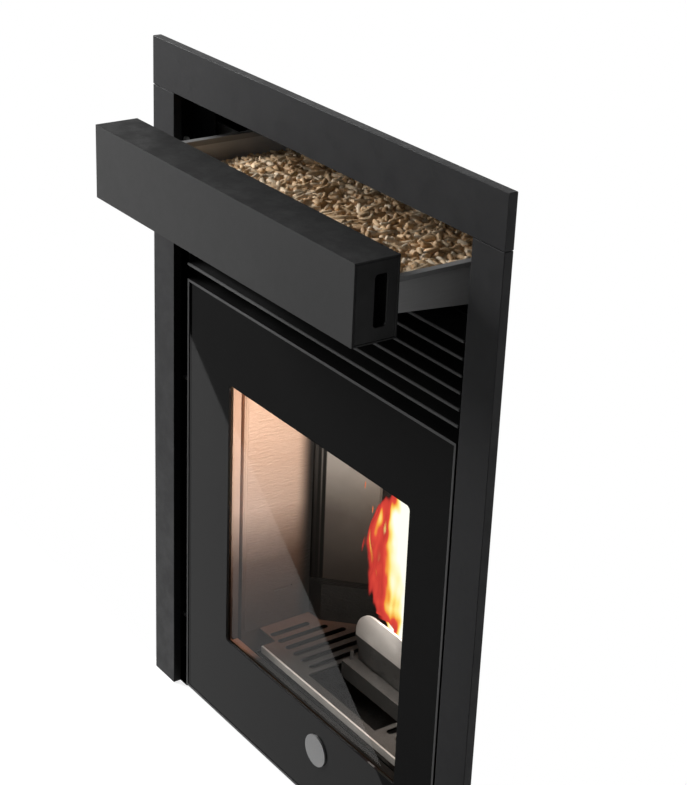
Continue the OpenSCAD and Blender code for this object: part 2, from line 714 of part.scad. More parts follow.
module hopper_form(t, top) hull() {
    block([-hopper_w / 2 + t, fy(hopper_front + t), hopper_top - 38],
        [hopper_w / 2 - t, fy(hopper_back - t), top]);
    block([fire_x - 26 + t, fy(neck_d - 30 + t), hopper_sill - 1 + t * 0.7],
        [fire_x + 26 - t, fy(neck_d + 30 - t), hopper_sill + 3]);
}
module hopper() color("silver") {
    difference() {
        union() {
            hopper_form(0, hopper_top);
            for (d = [hopper_front, hopper_back - 16])
                block([-casing_in, fy(d), hopper_top - 1.5], [casing_in, fy(d + 16), hopper_top]);
            block([fire_x - 26, fy(neck_d - 28), auger_z + 22],
                [fire_x + 26, fy(neck_d + 28), hopper_sill]);
        }
        hopper_form(1.5, hopper_top + eps);
        block([fire_x - 17, fy(neck_d - 24), auger_z], [fire_x + 17, fy(neck_d + 24), hopper_sill + 6]);
        rod_y(auger_tube_r + fit, neck_d - 56, hopper_back - 20, fire_x, auger_z);
    }
}

module auger_tube() color("silver") difference() {
    union() {
        rod_y(auger_tube_r, hopper_front + 2, auger_back, fire_x, auger_z);
        rod_y(auger_tube_r + 8, auger_back, auger_back + 4, fire_x, auger_z);
    }
    rod_y(auger_tube_r - 2, hopper_front + 4, auger_back - eps, fire_x, auger_z);
    rod_y(7 + run, hopper_front, auger_back + 5, fire_x, auger_z);
    block([fire_x - 18, fy(outlet_d - 18), auger_z - auger_tube_r - eps],
        [fire_x + 18, fy(outlet_d + 18), auger_z - 12]);
    block([fire_x - 18, fy(neck_d - 24), auger_z + 12],
        [fire_x + 18, fy(neck_d + 24), auger_z + auger_tube_r + eps]);
}

// The flight starts and ends inside the tube
module auger_screw() color("gray") {
    rod_y(7, hopper_front + 2.2, auger_back + 5.5, fire_x, auger_z);
    translate([fire_x, fy(hopper_front + 11), auger_z]) rotate([-90, 0, 0])
        linear_extrude(flight_l, twist = -360 * flight_l / auger_pitch, slices = ceil(flight_l / 4))
            translate([0, -1.6]) square([auger_r, 3.2]);
}

module pellet_chute() color("silver") difference() {
    chute_bore(0);
    chute_bore(-1.5);
    block([fire_x - 60, fy(outlet_d - 60), auger_z - 6], [fire_x + 60, fy(outlet_d + 60), auger_z + 60]);
    rod_y(auger_tube_r + fit, hopper_front + 1.8, auger_back, fire_x, auger_z);
    block([fire_x - 60, fy(fire_back - 90), auger_z - 200], [fire_x + 60, fy(fire_back - 6), auger_z]);
}

module auger_motor() color("gray") {
    difference() {
        block([fire_x - 42, fy(auger_back + 4.3), auger_z - 30],
            [fire_x + 42, fy(auger_back + 34), auger_z + 40]);
        rod_y(7.5, auger_back + 4, auger_back + 7, fire_x, auger_z);
    }
    rod_y(27, auger_back + 34, rear_in - 6, fire_x + 8, auger_z + 8);
}

// Fans

module room_fan_housing() color("silver") difference() {
    union() {
        block([room_x - room_l / 2, fy(room_d - 46), pan_top + fit],
            [room_x + room_l / 2, fy(room_d + 44), room_z + 44]);
        block([room_x - room_mouth - 2, fy(shell_back + 1), room_z + 26],
            [room_x + room_mouth + 2, fy(room_d - 30), room_z + 44]);
        block([room_x - room_mouth - 2, fy(shell_back + 1), room_z + 26],
            [room_x + room_mouth + 2, fy(duct_back), flue_z + 1.8]);
    }
    rod_x(room_wheel_r + 4, room_x - room_l / 2 + 2, room_x + room_l / 2 - 2, room_d, room_z);
    rod_x(4 + run, room_x - room_l / 2 - eps, room_x + room_l / 2 + eps, room_d, room_z);
    block([room_x - room_mouth, fy(shell_back + 3), room_z + 28],
        [room_x + room_mouth, fy(duct_back - 2), flue_z + 3]);
    block([room_x - room_mouth, fy(shell_back + 3), room_z + 28],
        [room_x + room_mouth, fy(room_d), room_z + 41]);
    block([room_x - room_mouth, fy(room_d), room_z - 20],
        [room_x + room_mouth, fy(room_d + 50), room_z + 20]);
}

module exhaust_housing() color("silver") difference() {
    union() {
        rod_x(volute_r, volute_in, volute_out, volute_d, volute_z);
        block([volute_in, fy(volute_d), volute_z + 15],
            [volute_out, fy(body_d - 25 - fit), volute_z + volute_r]);
        block([volute_x - flue_r - 5, fy(body_d - 28), flue_z - flue_r - 5],
            [volute_x + flue_r + 5, fy(body_d - 25 - fit), flue_z + flue_r + 5]);
    }
    rod_x(volute_r - 1.5, volute_in + 1.5, volute_out - 1.5, volute_d, volute_z);
    block([volute_in + 1.5, fy(volute_d), volute_z + 16.5],
        [volute_out - 1.5, fy(body_d - 24), volute_z + volute_r - 1.5]);
    rod_x(inlet_r, volute_in - eps, volute_in + 3, volute_d, volute_z);
    rod_x(5 + run, volute_out - 3, volute_out + eps, volute_d, volute_z);
}
// Both wheels: discs, blades and a shaft each
module wheel(r, l, blades, blade, shaft) {
    for (x = [0, l - 1.5]) translate([x, 0, 0]) rotate([0, 90, 0]) cylinder(r = r, h = 1.5);
    for (i = [0:blades - 1]) rotate([i * 360 / blades, 0, 0])
        translate([0, -0.6, r - blade]) cube([l, 1.2, blade - 0.5]);
    translate([shaft[0], 0, 0]) rotate([0, 90, 0]) cylinder(r = shaft[2], h = shaft[1] - shaft[0]);
}
module exhaust_wheel() color("gray")
    translate([volute_in + 10, fy(volute_d), volute_z])
        wheel(exhaust_wheel_r, volute_w - 20, 10, exhaust_wheel_r - 8, [0, volute_w - 4, 5]);
module room_wheel() color("gray")
    translate([room_x - room_wheel_l / 2, fy(room_d), room_z])
        wheel(room_wheel_r, room_wheel_l, 18, 9, [-13, room_wheel_l + 7, 4]);

module fan_motors() color("gray") {
    difference() {
        rod_x(28, room_x - room_l / 2 - 36, room_x - room_l / 2 - 1.2, room_d, room_z);
        rod_x(4.5, room_x - room_l / 2 - 8, room_x - room_l / 2, room_d, room_z);
    }
    block([room_x - room_l / 2 - 30, fy(room_d - 20), pan_top + fit],
        [room_x - room_l / 2 - 10, fy(room_d + 20), room_z - 20]);
    difference() {
        rod_x(34, volute_out + fit, volute_out + fit + smoke_motor_l, volute_d, volute_z);
        rod_x(5.5, volute_out, volute_out + 8, volute_d, volute_z);
    }
}

module smoke_duct() color("silver") difference() {
    block([fire_x + fire_w / 2 - 65, fy(shell_back + fit), volute_z - 31],
        [volute_in - fit, fy(volute_d + 30), volute_z + 30]);
    block([fire_x + fire_w / 2 - 63, fy(shell_back), volute_z - 29],
        [volute_in - 2, fy(volute_d + 28), volute_z + 28]);
    rod_x(inlet_r, volute_in - 4, volute_in, volute_d, volute_z);
}

module flue_spigot() color("silver") difference() {
    union() {
        block([volute_x - flue_r - 5, fy(body_d - 25), flue_z - flue_r - 5],
            [volute_x + flue_r + 5, fy(body_d - 22), flue_z + flue_r + 5]);
        rod_y(flue_r, body_d - 23, body_d + flue_out, volute_x, flue_z);
    }
    rod_y(flue_r - 1.5, body_d - 26, body_d + flue_out + eps, volute_x, flue_z);
}

module control_box() color("dimgray") {
    block([-casing_in, fy(body_d - 140), control_z], [-casing_in + 68, fy(body_d - 20), control_z + 180]);
    for (i = [0:3])
        block([-casing_in + 67, fy(body_d - 120), control_z + 20 + i * 40],
            [-casing_in + 76, fy(body_d - 60), control_z + 32 + i * 40]);
}

// Mains socket, rocker switch seat and reset seat, in a column on the back
module mains_inlet() color("black") {
    difference() {
        union() {
            block([inlet_x - 13.8, fy(body_d - 22), inlet_z - 11.8],
                [inlet_x + 13.8, fy(body_d + 1), inlet_z + 11.8]);
            block([inlet_x - 19, fy(body_d + fit), inlet_z - 15],
                [inlet_x + 19, fy(body_d + 2.2), inlet_z + 15]);
        }
        block([inlet_x - 12, fy(body_d - 16), inlet_z - 9], [inlet_x + 12, fy(body_d + 3), inlet_z + 9]);
    }
    for (x = [-7, 0, 7])
        block([inlet_x + x - 2, fy(body_d - 17), inlet_z - 1 + abs(x) / 3.5],
            [inlet_x + x + 2, fy(body_d - 4), inlet_z + 1 + abs(x) / 3.5]);
    difference() {
        union() {
            block([inlet_x - switch_w - 2, fy(body_d - 20), switch_z - 12.8],
                [inlet_x + switch_w + 2, fy(body_d + 1), switch_z + 12.8]);
            block([inlet_x - switch_w - 4, fy(body_d + fit), switch_z - 15],
                [inlet_x + switch_w + 4, fy(body_d + 1.6), switch_z + 15]);
        }
        block([inlet_x - switch_w - 0.4, fy(switch_d - 5), switch_z - 11.8],
            [inlet_x + switch_w + 0.4, fy(body_d + 3), switch_z + 11.8]);
        rod_x(1.5 + run, inlet_x - switch_w - 1.6, inlet_x + switch_w + 1.6, switch_d, switch_z);
    }
    difference() {
        union() {
            rod_y(7.8, body_d - 18, body_d + 1, inlet_x, reset_z);
            rod_y(11, body_d + fit, body_d + 2, inlet_x, reset_z);
        }
        rod_y(5 + run, body_d - 10, body_d + 3, inlet_x, reset_z);
    }
}
module rocker_switch() color("black") {
    translate([inlet_x - switch_w, fy(switch_d), switch_z]) rotate([-switch_tilt, 0, 0])
        rotate([90, 0, 90]) linear_extrude(2 * switch_w)
            polygon([[-3.5, -3], [3, -10], [7, -9.6], [4.6, 0], [7, 9.6], [3, 10], [-3.5, 3]]);
    rod_x(1.5, inlet_x - switch_w - 1.3, inlet_x + switch_w + 1.3, switch_d, switch_z);
}
module reset_button() color("red") rod_y(5, body_d - 7, body_d + 5, inlet_x, reset_z);

// Drawer

module drawer_front() color("#464646") difference() {
    block([-drawer_w / 2, fy(drawer_d), drawer_z], [drawer_w / 2, fy(tray_front), drawer_top]);
    block([-drawer_w / 2 - eps, fy(drawer_d + 2), drawer_z + 2],
        [drawer_w / 2 + eps, fy(tray_front - 2), drawer_top - 2]);
}

// The finger slot's outline in the end cap has four round corners
module drawer_end_caps() color("#2f2f30") for (s = [0, 1]) mirror([s, 0, 0]) difference() {
    block([drawer_w / 2 - 2.4, fy(drawer_d + 2 + fit), drawer_z + 2 + fit],
        [drawer_w / 2 - 0.4, fy(tray_front - 2 - fit), drawer_top - 2 - fit]);
    translate([drawer_w / 2 - 4, fy(drawer_d + slot_set), drawer_z + drawer_h / 2]) rotate([90, 0, 90])
        linear_extrude(5) rounded_rect(-slot_w / 2, -slot_h / 2, slot_w / 2, slot_h / 2, 3.5);
}

module drawer_tray() color("darkgray") {
    difference() {
        union() {
            prism_x(-tray_w / 2, tray_w / 2, [[tray_front + fit, rim_z],
                [tray_front + fit, rim_z - tray_h],
                [tray_back, rim_z - tray_h - tray_drop], [tray_back, rim_z]]);
            for (s = [0, 1]) mirror([s, 0, 0]) {
                block([tray_w / 2 - eps, fy(tray_front + fit), rim_z - 1.5],
                    [tray_w / 2 + 6.5, fy(tray_back), rim_z]);
                block([tray_w / 2 + 5, fy(tray_front + fit), rim_z - 4.5],
                    [tray_w / 2 + 6.5, fy(tray_back), rim_z]);
                rod_x(roller_pin_r, tray_w / 2 - eps, tray_w / 2 + 11, roller_d, roller_z);
                rod_x(roller_pin_r + 2, tray_w / 2 + 11, tray_w / 2 + 11.8, roller_d, roller_z);
            }
        }
        prism_x(-tray_w / 2 + tray_t, tray_w / 2 - tray_t, [[tray_front + fit + tray_t, rim_z + eps],
            [tray_front + fit + tray_t, rim_z - tray_h + tray_t],
            [tray_back + eps, rim_z - tray_h - tray_drop + tray_t], [tray_back + eps, rim_z + eps]]);
    }
}

module drawer_rollers() color("silver") for (s = [0, 1]) mirror([s, 0, 0]) difference() {
    rod_x(roller_r, tray_w / 2 + 2.5, tray_w / 2 + 10.7, roller_d, roller_z);
    rod_x(roller_pin_r + run, tray_w / 2, tray_w / 2 + 12, roller_d, roller_z);
}

// Slopes away to the left end of the tray, and to the back where it pours into the hopper
module pellet_bed() color("tan") intersection() {
    prism_x(-tray_w / 2 + tray_t + 0.3, tray_w / 2 - tray_t - 0.3, [
        [tray_front + tray_t + 0.5, rim_z - tray_h + tray_t + 0.4],
            [tray_front + tray_t + 0.5, rim_z - pellet_drop],
        [tray_back - 100, rim_z - pellet_drop - 2], [tray_back - 20, rim_z - tray_h - 10],
        [tray_back - 4, rim_z - tray_h - tray_drop + 6],
            [tray_back - 4, rim_z - tray_h - tray_drop + tray_t + 0.7]]);
    translate([0, fy(tray_back), 0]) rotate([90, 0, 0]) linear_extrude(tray_l)
        polygon([[-tray_w / 2, rim_z - tray_h - tray_drop - 10], [-tray_w / 2, rim_z - tray_h + 9],
            [-tray_w / 2 + 78, rim_z - pellet_drop - 1], [tray_w / 2, rim_z - pellet_drop + 1],
            [tray_w / 2, rim_z - tray_h - tray_drop - 10]]);
}

module drawer_channels() color("silver") for (s = [0, 1]) mirror([s, 0, 0]) {
    difference() {
        block([channel_x, fy(channel_front), channel_z],
            [channel_x + channel_w, fy(channel_back), channel_z + channel_h]);
        block([channel_x - eps, fy(channel_front - eps), channel_z + channel_t],
            [channel_x + channel_w - channel_t, fy(channel_back - channel_t),
                channel_z + channel_h - channel_t]);
    }
    block([channel_x, fy(channel_front), channel_z + channel_h - eps],
        [channel_x + 6, fy(channel_front + 20), rim_z - 4.5 - 0.3]);
    for (d = [channel_front + 8, channel_back - 4])
        block([channel_x + channel_w - 1, fy(d), channel_z], [casing_in, fy(d + 2), channel_z + channel_h]);
}

// Door

module hinge_brackets() color("dimgray") {
    for (z = hinge_zs) {
        block([hinge_x - 4, fy(hinge_d), z - 6], [hinge_x + 4, fy(plate_front - fit), z + 6]);
        block([hinge_x - 20, fy(plate_front - 2), z - 6], [hinge_x + 4, fy(plate_front - fit), z + 6]);
        rod_z(knuckle_r, z - 6, z + 6, hinge_x, hinge_d);
        rod_z(pin_d / 2, z - 22, z + 22, hinge_x, hinge_d);
    }
    block([door_w / 2 + 1, fy(plate_front - 4), latch_z - 14],
        [door_w / 2 + 12, fy(plate_front - fit), latch_z - 2]);
}

// What the hinges need free, with grow around the brackets
module hinge_notches() for (z = hinge_zs)
    block([-door_w / 2 - eps, fy(hinge_d - knuckle_r), z - 24],
        [hinge_x + 11, fy(door_set + door_d + eps), z + 24]);

module door_trim() color("#3d3d3f") difference() {
    frame_ring(-door_w / 2, door_z, door_w / 2, door_top, trim_w, door_set, door_set + door_d);
    hinge_notches();
    rod_x(3 + run, door_w / 2 - 10, door_w / 2 + eps, latch_d, latch_z);
}

module door_panel() color("#151515") difference() {
    block([-panel_in, fy(panel_d), door_z + trim_w + fit],
        [panel_in, fy(panel_d + panel_t), door_top - trim_w - fit]);
    rounded_plate(window_x - window_w / 2, window_z, window_x + window_w / 2, window_top, window_r,
        panel_d - eps, panel_d + panel_t + eps);
}

module badge() color("gray") rod_y(badge_d / 2, panel_d - 2.1, panel_d - 0.1, badge_x, badge_z);

module door_glass() color("black", 0.3)
    block([window_x - window_w / 2 - glass_lap, fy(glass_front), window_z - glass_lap],
        [window_x + window_w / 2 + glass_lap, fy(glass_front + glass_t), window_top + glass_lap]);

module door_frame() color("#2a2a2a") {
    wx0 = window_x - window_w / 2 - glass_lap - 2;
    wx1 = window_x + window_w / 2 + glass_lap + 2;
    wz0 = window_z - glass_lap - 2;
    wz1 = window_top + glass_lap + 2;
    difference() {
        union() {
            difference() {
                block([-panel_in, fy(frame_back - 2), door_z + trim_w + fit],
                    [panel_in, fy(frame_back), door_top - trim_w - fit]);
                block([wx0, fy(frame_back - 3), wz0], [wx1, fy(frame_back + eps), wz1]);
            }
            frame_ring(-panel_in, door_z + trim_w + fit, panel_in, door_top - trim_w - fit, 2,
                panel_d + panel_t + fit, frame_back - 1);
            rope_ring(7, rope_d - 5.6, frame_back);
            frame_ring(wx0 - 2, wz0 - 2, wx1 + 2, wz1 + 2, 2, glass_front + glass_t + fit, frame_back - 1);
            frame_ring(wx0 - 2, wz0 - 2, wx1 + 2, wz1 + 2, 10,
                glass_front + glass_t + fit, glass_front + glass_t + fit + 1.5);
        }
        rope_ring(4.7, rope_d - 4.4, frame_back + eps);
        hinge_notches();
        rod_x(3 + run, door_w / 2 - 10, door_w / 2 + eps, latch_d, latch_z);
    }
    for (z = hinge_zs, s = [0, 1]) translate([0, 0, z]) mirror([0, 0, s]) difference() {
        union() {
            rod_z(knuckle_r, 6.3, 22, hinge_x, hinge_d);
            block([hinge_x, fy(hinge_d + 3), 6.3], [hinge_x + 18, fy(hinge_d + knuckle_r), 22]);
            block([hinge_x + 14, fy(hinge_d + 3), 6.3], [hinge_x + 18, fy(frame_back - 1), 22]);
        }
        rod_z(pin_d / 2 + run, 6, 23, hinge_x, hinge_d);
    }
}

// A ring that runs along the rope's middle line and reaches w to each side of it
module rope_ring(w, d0, d1) difference() {
    rounded_plate(rope_x0 - w, rope_z0 - w, rope_x1 + w, rope_z1 + w, rope_bend + w, d0, d1);
    rounded_plate(rope_x0 + w, rope_z0 + w, rope_x1 - w, rope_z1 - w, rope_bend - w, d0 - eps, d1 + eps);
}

// Rope round the back of the door, and the flat gasket in front of the glass
module door_seals() color("#8d8a82") {
    c = rope_bend;
    for (x = [rope_x0, rope_x1]) rod_z(rope_r, rope_z0 + c, rope_z1 - c, x, rope_d);
    for (z = [rope_z0, rope_z1]) rod_x(rope_r, rope_x0 + c, rope_x1 - c, rope_d, z);
    for (q = [[rope_x1 - c, rope_z1 - c, 0],
        [rope_x0 + c, rope_z1 - c, 90], [rope_x0 + c, rope_z0 + c, 180],
            [rope_x1 - c, rope_z0 + c, 270]])
        translate([q[0], fy(rope_d), q[1]]) rotate([90, 0, 0]) rotate([0, 0, q[2]])
            rotate_extrude(angle = 90) translate([c, 0]) circle(r = rope_r);
    frame_ring(window_x - window_w / 2 - glass_lap, window_z - glass_lap,
        window_x + window_w / 2 + glass_lap, window_top + glass_lap, glass_lap - 2,
        panel_d + panel_t + 0.05, glass_front - 0.05);
}

module latch_handle() color("#3a3a3c") {
    rod_x(3, panel_in - 6, door_w / 2 + 8, latch_d, latch_z);
    rod_x(5, panel_in - 6, panel_in - 3, latch_d, latch_z);
    rod_x(7, door_w / 2 + 3, door_w / 2 + 9, latch_d, latch_z);
    block([door_w / 2 + 3, fy(latch_d - 3), latch_z], [door_w / 2 + 9, fy(latch_d + 3), latch_z + 78]);
    rod_x(6, door_w / 2 + 3, door_w / 2 + 9, latch_d - 3, latch_z + 78);
}

base_tray();
slide_rails();
flue_bracket();
flue_sleeve();
chassis_pan();
slide_runners();
side_panel_left();
side_panel_right();
rear_panel();
top_panel();
front_plate();
surround_top();
surround_left();
surround_right();
surround_brackets();
surround_screws();
hot_air_grille();
firebox_shell();
firebox_liners();
corner_liners();
corner_skirts();
hearth_plate();
baffle_plate();
exchanger_tubes();
air_duct();
burner_support();
igniter();
ash_pan();
air_intake_tube();
hopper();
auger_tube();
pellet_chute();
auger_motor();
room_fan_housing();
fan_motors();
exhaust_housing();
smoke_duct();
flue_spigot();
control_box();
mains_inlet();
drawer_channels();
hinge_brackets();
drawer_front();
drawer_end_caps();
drawer_tray();
drawer_rollers();
pellet_bed();
door_trim();
door_panel();
badge();
door_glass();
door_frame();
door_seals();
latch_handle();
burner_pot();
auger_screw();
exhaust_wheel();
room_wheel();
rocker_switch();
reset_button();
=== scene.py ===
# Pellet insert: materials, loose pellets, fire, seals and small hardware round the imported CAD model
import json
import math
import random

import bpy
from mathutils import Euler, Matrix, Vector, noise
from mathutils.bvhtree import BVHTree

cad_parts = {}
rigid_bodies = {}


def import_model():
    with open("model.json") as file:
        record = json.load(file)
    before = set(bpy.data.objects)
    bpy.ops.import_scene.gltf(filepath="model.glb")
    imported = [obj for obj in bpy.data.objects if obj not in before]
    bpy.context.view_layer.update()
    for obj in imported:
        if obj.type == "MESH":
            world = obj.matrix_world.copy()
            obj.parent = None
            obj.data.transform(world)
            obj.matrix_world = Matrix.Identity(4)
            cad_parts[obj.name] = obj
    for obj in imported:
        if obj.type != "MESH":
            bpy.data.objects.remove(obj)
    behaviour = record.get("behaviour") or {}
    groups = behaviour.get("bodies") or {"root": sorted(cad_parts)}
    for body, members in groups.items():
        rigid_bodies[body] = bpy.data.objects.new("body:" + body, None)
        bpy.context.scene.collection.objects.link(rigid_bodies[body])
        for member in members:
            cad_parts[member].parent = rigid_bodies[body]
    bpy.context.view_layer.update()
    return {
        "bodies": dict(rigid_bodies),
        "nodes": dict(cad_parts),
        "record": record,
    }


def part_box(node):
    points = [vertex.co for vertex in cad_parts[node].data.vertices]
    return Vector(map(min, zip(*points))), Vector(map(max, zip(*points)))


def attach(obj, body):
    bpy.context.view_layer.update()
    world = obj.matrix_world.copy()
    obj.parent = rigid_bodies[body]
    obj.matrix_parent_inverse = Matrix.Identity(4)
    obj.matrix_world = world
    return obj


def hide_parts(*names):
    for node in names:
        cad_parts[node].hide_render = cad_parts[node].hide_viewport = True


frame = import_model()

MM = 0.001
NODES = frame["nodes"]
BODIES = frame["bodies"]
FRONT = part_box("surround_top")[0][1]


def at(x, depth, z):
    """A point in metres from millimetres, its depth counted from the surround's front face."""
    return Vector((x * MM, FRONT + depth * MM, z * MM))


def box_mm(node):
    """A node's lowest and highest x, depth and height, in millimetres."""
    lo, hi = (Vector(c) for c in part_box(node))
    shift = Vector((0, FRONT, 0))
    return (lo - shift) / MM, (hi - shift) / MM


def grey(level, tint=(1.0, 1.0, 1.0)):
    """A colour that renders as this 8-bit grey level, tinted."""
    c = level / 255
    value = c / 12.92 if c <= 0.04045 else ((c + 0.055) / 1.055) ** 2.4
    return tuple(value * t for t in tint) + (1.0,)


def srgb(red, green, blue):
    """A colour from 8-bit values."""
    return tuple(grey(c)[0] for c in (red, green, blue)) + (1.0,)


# Camera

def place_camera():
    """The photograph's view. The turn is in degrees."""
    location = Vector((1.4438, -1.2646, 1.3022))
    yaw, pitch, roll = (math.radians(a) for a in (54.0015, 24.6369, 2.3513))
    forward = Vector((-math.sin(yaw) * math.cos(pitch), math.cos(yaw) * math.cos(pitch), -math.sin(pitch)))
    right = Vector((math.cos(yaw), math.sin(yaw), 0))
    up = right.cross(forward)
    turned_right = math.cos(roll) * right + math.sin(roll) * up
    turned_up = math.cos(roll) * up - math.sin(roll) * right
    data = bpy.data.cameras.new("camera")
    data.sensor_width = 36
    data.lens = 86.36
    camera = bpy.data.objects.new("camera", data)
    bpy.context.scene.collection.objects.link(camera)
    turn = Matrix((turned_right, turned_up, -forward)).transposed()
    camera.matrix_world = Matrix.Translation(location) @ turn.to_4x4()
    bpy.context.scene.camera = camera


place_camera()


# Materials

class Paint:
    """A procedural material, with short ways to add its nodes."""

    def __init__(self, name, colour=(0.5, 0.5, 0.5, 1), rough=0.5, metal=0.0, specular=0.5):
        self.mat = bpy.data.materials.new(name)
        self.mat.use_nodes = True
        self.nodes = self.mat.node_tree.nodes
        self.links = self.mat.node_tree.links
        self.shader = self.nodes["Principled BSDF"]
        self.output = self.nodes["Material Output"]
        self.set("Base Color", colour)
        self.set("Roughness", rough)
        self.set("Metallic", metal)
        self.set("Specular IOR Level", specular)
        self.coords = None

    def set(self, socket, value):
        self.shader.inputs[socket].default_value = value

    def add(self, kind, **settings):
        node = self.nodes.new("ShaderNode" + kind)
        for key, value in settings.items():
            setattr(node, key, value)
        return node

    def put(self, value, socket):
        """Links a node's output to a socket, or writes a plain value on it."""
        if hasattr(value, "is_output"):
            self.links.new(value, socket)
        else:
            socket.default_value = value

    def place(self, output="Object"):
        if self.coords is None:
            self.coords = self.add("TexCoord")
        return self.coords.outputs[output]

    def stretched(self, scale):
        mapping = self.add("Mapping")
        self.links.new(self.place(), mapping.inputs["Vector"])
        mapping.inputs["Scale"].default_value = scale
        return mapping.outputs["Vector"]

    def noise(self, scale, detail=3.0, rough=0.55, vector=None, distortion=0.0):
        node = self.add("TexNoise")
        self.links.new(vector or self.place(), node.inputs["Vector"])
        node.inputs["Scale"].default_value = scale
        node.inputs["Detail"].default_value = detail
        node.inputs["Roughness"].default_value = rough
        node.inputs["Distortion"].default_value = distortion
        return node.outputs["Fac"]

    def cells(self, scale, output="Distance"):
        node = self.add("TexVoronoi", feature="F1")
        self.links.new(self.place(), node.inputs["Vector"])
        node.inputs["Scale"].default_value = scale
        return node.outputs[output]

    def math(self, operation, a, b=0.0, clamp=False):
        node = self.add("Math", operation=operation, use_clamp=clamp)
        self.put(a, node.inputs[0])
        self.put(b, node.inputs[1])
        return node.outputs[0]

    def span(self, value, low, high, to_low=0.0, to_high=1.0):
        """Maps low..high to to_low..to_high, smoothly and clamped."""
        node = self.add("MapRange", interpolation_type="SMOOTHSTEP")
        self.put(value, node.inputs["Value"])
        for key, number in (("From Min", low), ("From Max", high), ("To Min", to_low), ("To Max", to_high)):
            node.inputs[key].default_value = number
        return node.outputs["Result"]

    def mix(self, amount, a, b, blend="MIX"):
        node = self.add("Mix", data_type="RGBA", blend_type=blend)
        self.put(amount, node.inputs[0])
        self.put(a, node.inputs[6])
        self.put(b, node.inputs[7])
        return node.outputs[2]

    def ramp(self, value, stops):
        node = self.add("ValToRGB")
        self.links.new(value, node.inputs["Fac"])
        marks = node.color_ramp.elements
        while len(marks) < len(stops):
            marks.new(0.5)
        for mark, (place, colour) in zip(marks, stops):
            mark.position = place
            mark.color = colour
        return node.outputs["Color"]

    def axis(self, name, output="Object"):
        node = self.add("SeparateXYZ")
        self.links.new(self.place(output), node.inputs[0])
        return node.outputs[name]

    def bump(self, height, distance, strength=1.0):
        node = self.add("Bump")
        node.inputs["Strength"].default_value = strength
        node.inputs["Distance"].default_value = distance
        self.links.new(height, node.inputs["Height"])
        if self.shader.inputs["Normal"].is_linked:
            self.links.new(self.shader.inputs["Normal"].links[0].from_socket, node.inputs["Normal"])
        self.links.new(node.outputs["Normal"], self.shader.inputs["Normal"])

    def colour(self, value):
        self.put(value, self.shader.inputs["Base Color"])

    def roughness(self, value):
        self.put(value, self.shader.inputs["Roughness"])

    def face(self):
        """The output that colours the surface so far."""
        return self.shader.inputs["Base Color"].links[0].from_socket

    def upward(self):
        """1 on faces that look up."""
        return self.span(self.axis("Z", "Normal"), 0.6, 0.9)

    def sideways(self):
        """1 on faces that look left or right."""
        return self.span(self.math("ABSOLUTE", self.axis("X", "Normal")), 0.6, 0.9)

    def away_from(self, axis, middle):
        """The distance from a middle value, along this axis."""
        return self.math("ABSOLUTE", self.math("SUBTRACT", self.axis(axis), middle))

    def show(self, amount, first, second):
        """Puts a mix of two shaders on the surface."""
        blend = self.add("MixShader")
        self.links.new(amount, blend.inputs[0])
        self.links.new(first.outputs[0], blend.inputs[1])
        self.links.new(second.outputs[0], blend.inputs[2])
        self.links.new(blend.outputs[0], self.output.inputs["Surface"])


def varied(paint, colour, spread, scale=9.0):
    """The colour with a slow, faint change over the surface."""
    light = tuple(min(1.0, c * (1 + spread)) for c in colour[:3]) + (1.0,)
    dark = tuple(c * (1 - spread) for c in colour[:3]) + (1.0,)
    return paint.mix(paint.noise(scale, 4.0), dark, light)


def powder_coat(name, colour, rough=0.55, specular=0.25, grain=0.00012):
    """Fine-textured paint: pin-head grain, faint handling marks, and a little wear of its gloss."""
    p = Paint(name, colour, rough, 0.0, specular)
    p.colour(varied(p, colour, 0.09, 7.0))
    p.roughness(p.span(p.noise(34.0, 5.0, 0.7), 0.3, 0.7, rough - 0.08, rough + 0.09))
    p.bump(p.noise(2600.0, 2.0), grain, 0.35)
    p.bump(p.noise(900.0, 2.0), grain * 2, 0.2)
    return p


def sheet_steel(name, colour, rough=0.4, metal=0.75, spangle=0.0, brushed=(60, 60, 900)):
    """Plain or galvanised sheet: rolling marks, spangle cells and dull patches."""
    p = Paint(name, colour, rough, metal, 0.4)
    base = varied(p, colour, 0.12, 11.0)
    if spangle:
        shade = p.span(p.cells(90.0, "Color"), 0.2, 0.9, 1 - spangle, 1 + spangle)
        base = p.mix(1.0, base, shade, "MULTIPLY")
    lines = p.noise(1.0, 3.0, 0.6, p.stretched(brushed))
    p.colour(p.mix(0.25, base, p.mix(lines, grey(70), grey(200)), "OVERLAY"))
    p.roughness(p.span(p.noise(18.0, 5.0, 0.65), 0.3, 0.7, rough - 0.1, rough + 0.15))
    p.bump(lines, 0.00008, 0.3)
    return p


def side_panel_material():
    """Galvanised outside. Inside, painted shade colours the faces near black."""
    p = sheet_steel("side_zinc", grey(176), 0.38, 0.6, 0.13)
    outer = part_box("side_panel_right")[1][0]
    inside = p.span(p.math("ABSOLUTE", p.axis("X")), outer - 0.0009, outer - 0.0004, 1.0, 0.0)
    # Painted shade: the panels' inner faces are coloured near black
    p.colour(p.mix(inside, p.face(), grey(5)))
    return p


def surround_material():
    """Satin black paint. The bars' sides towards the opening carry painted shade, near black."""
    p = powder_coat("surround_paint", grey(52, (1.0, 1.0, 1.03)), 0.5, 0.12)
    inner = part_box("surround_right")[0][0]
    inside = p.span(p.math("ABSOLUTE", p.axis("X")), inner + 0.001, inner + 0.0014, 1.0, 0.0)
    # Painted shade: the bars' sides that face the opening are coloured near black
    p.colour(p.mix(p.math("MULTIPLY", inside, p.sideways()), p.face(), grey(7)))
    return p


def drawer_material():
    """Satin black paint, with painted shade: darker on the top and on the ends."""
    p = powder_coat("drawer_paint", grey(72), 0.52, 0.1)
    # Painted shade: faces that look up and faces that look sideways are coloured darker
    shaded = p.mix(p.upward(), p.face(), grey(24))
    p.colour(p.mix(p.sideways(), shaded, grey(38)))
    return p


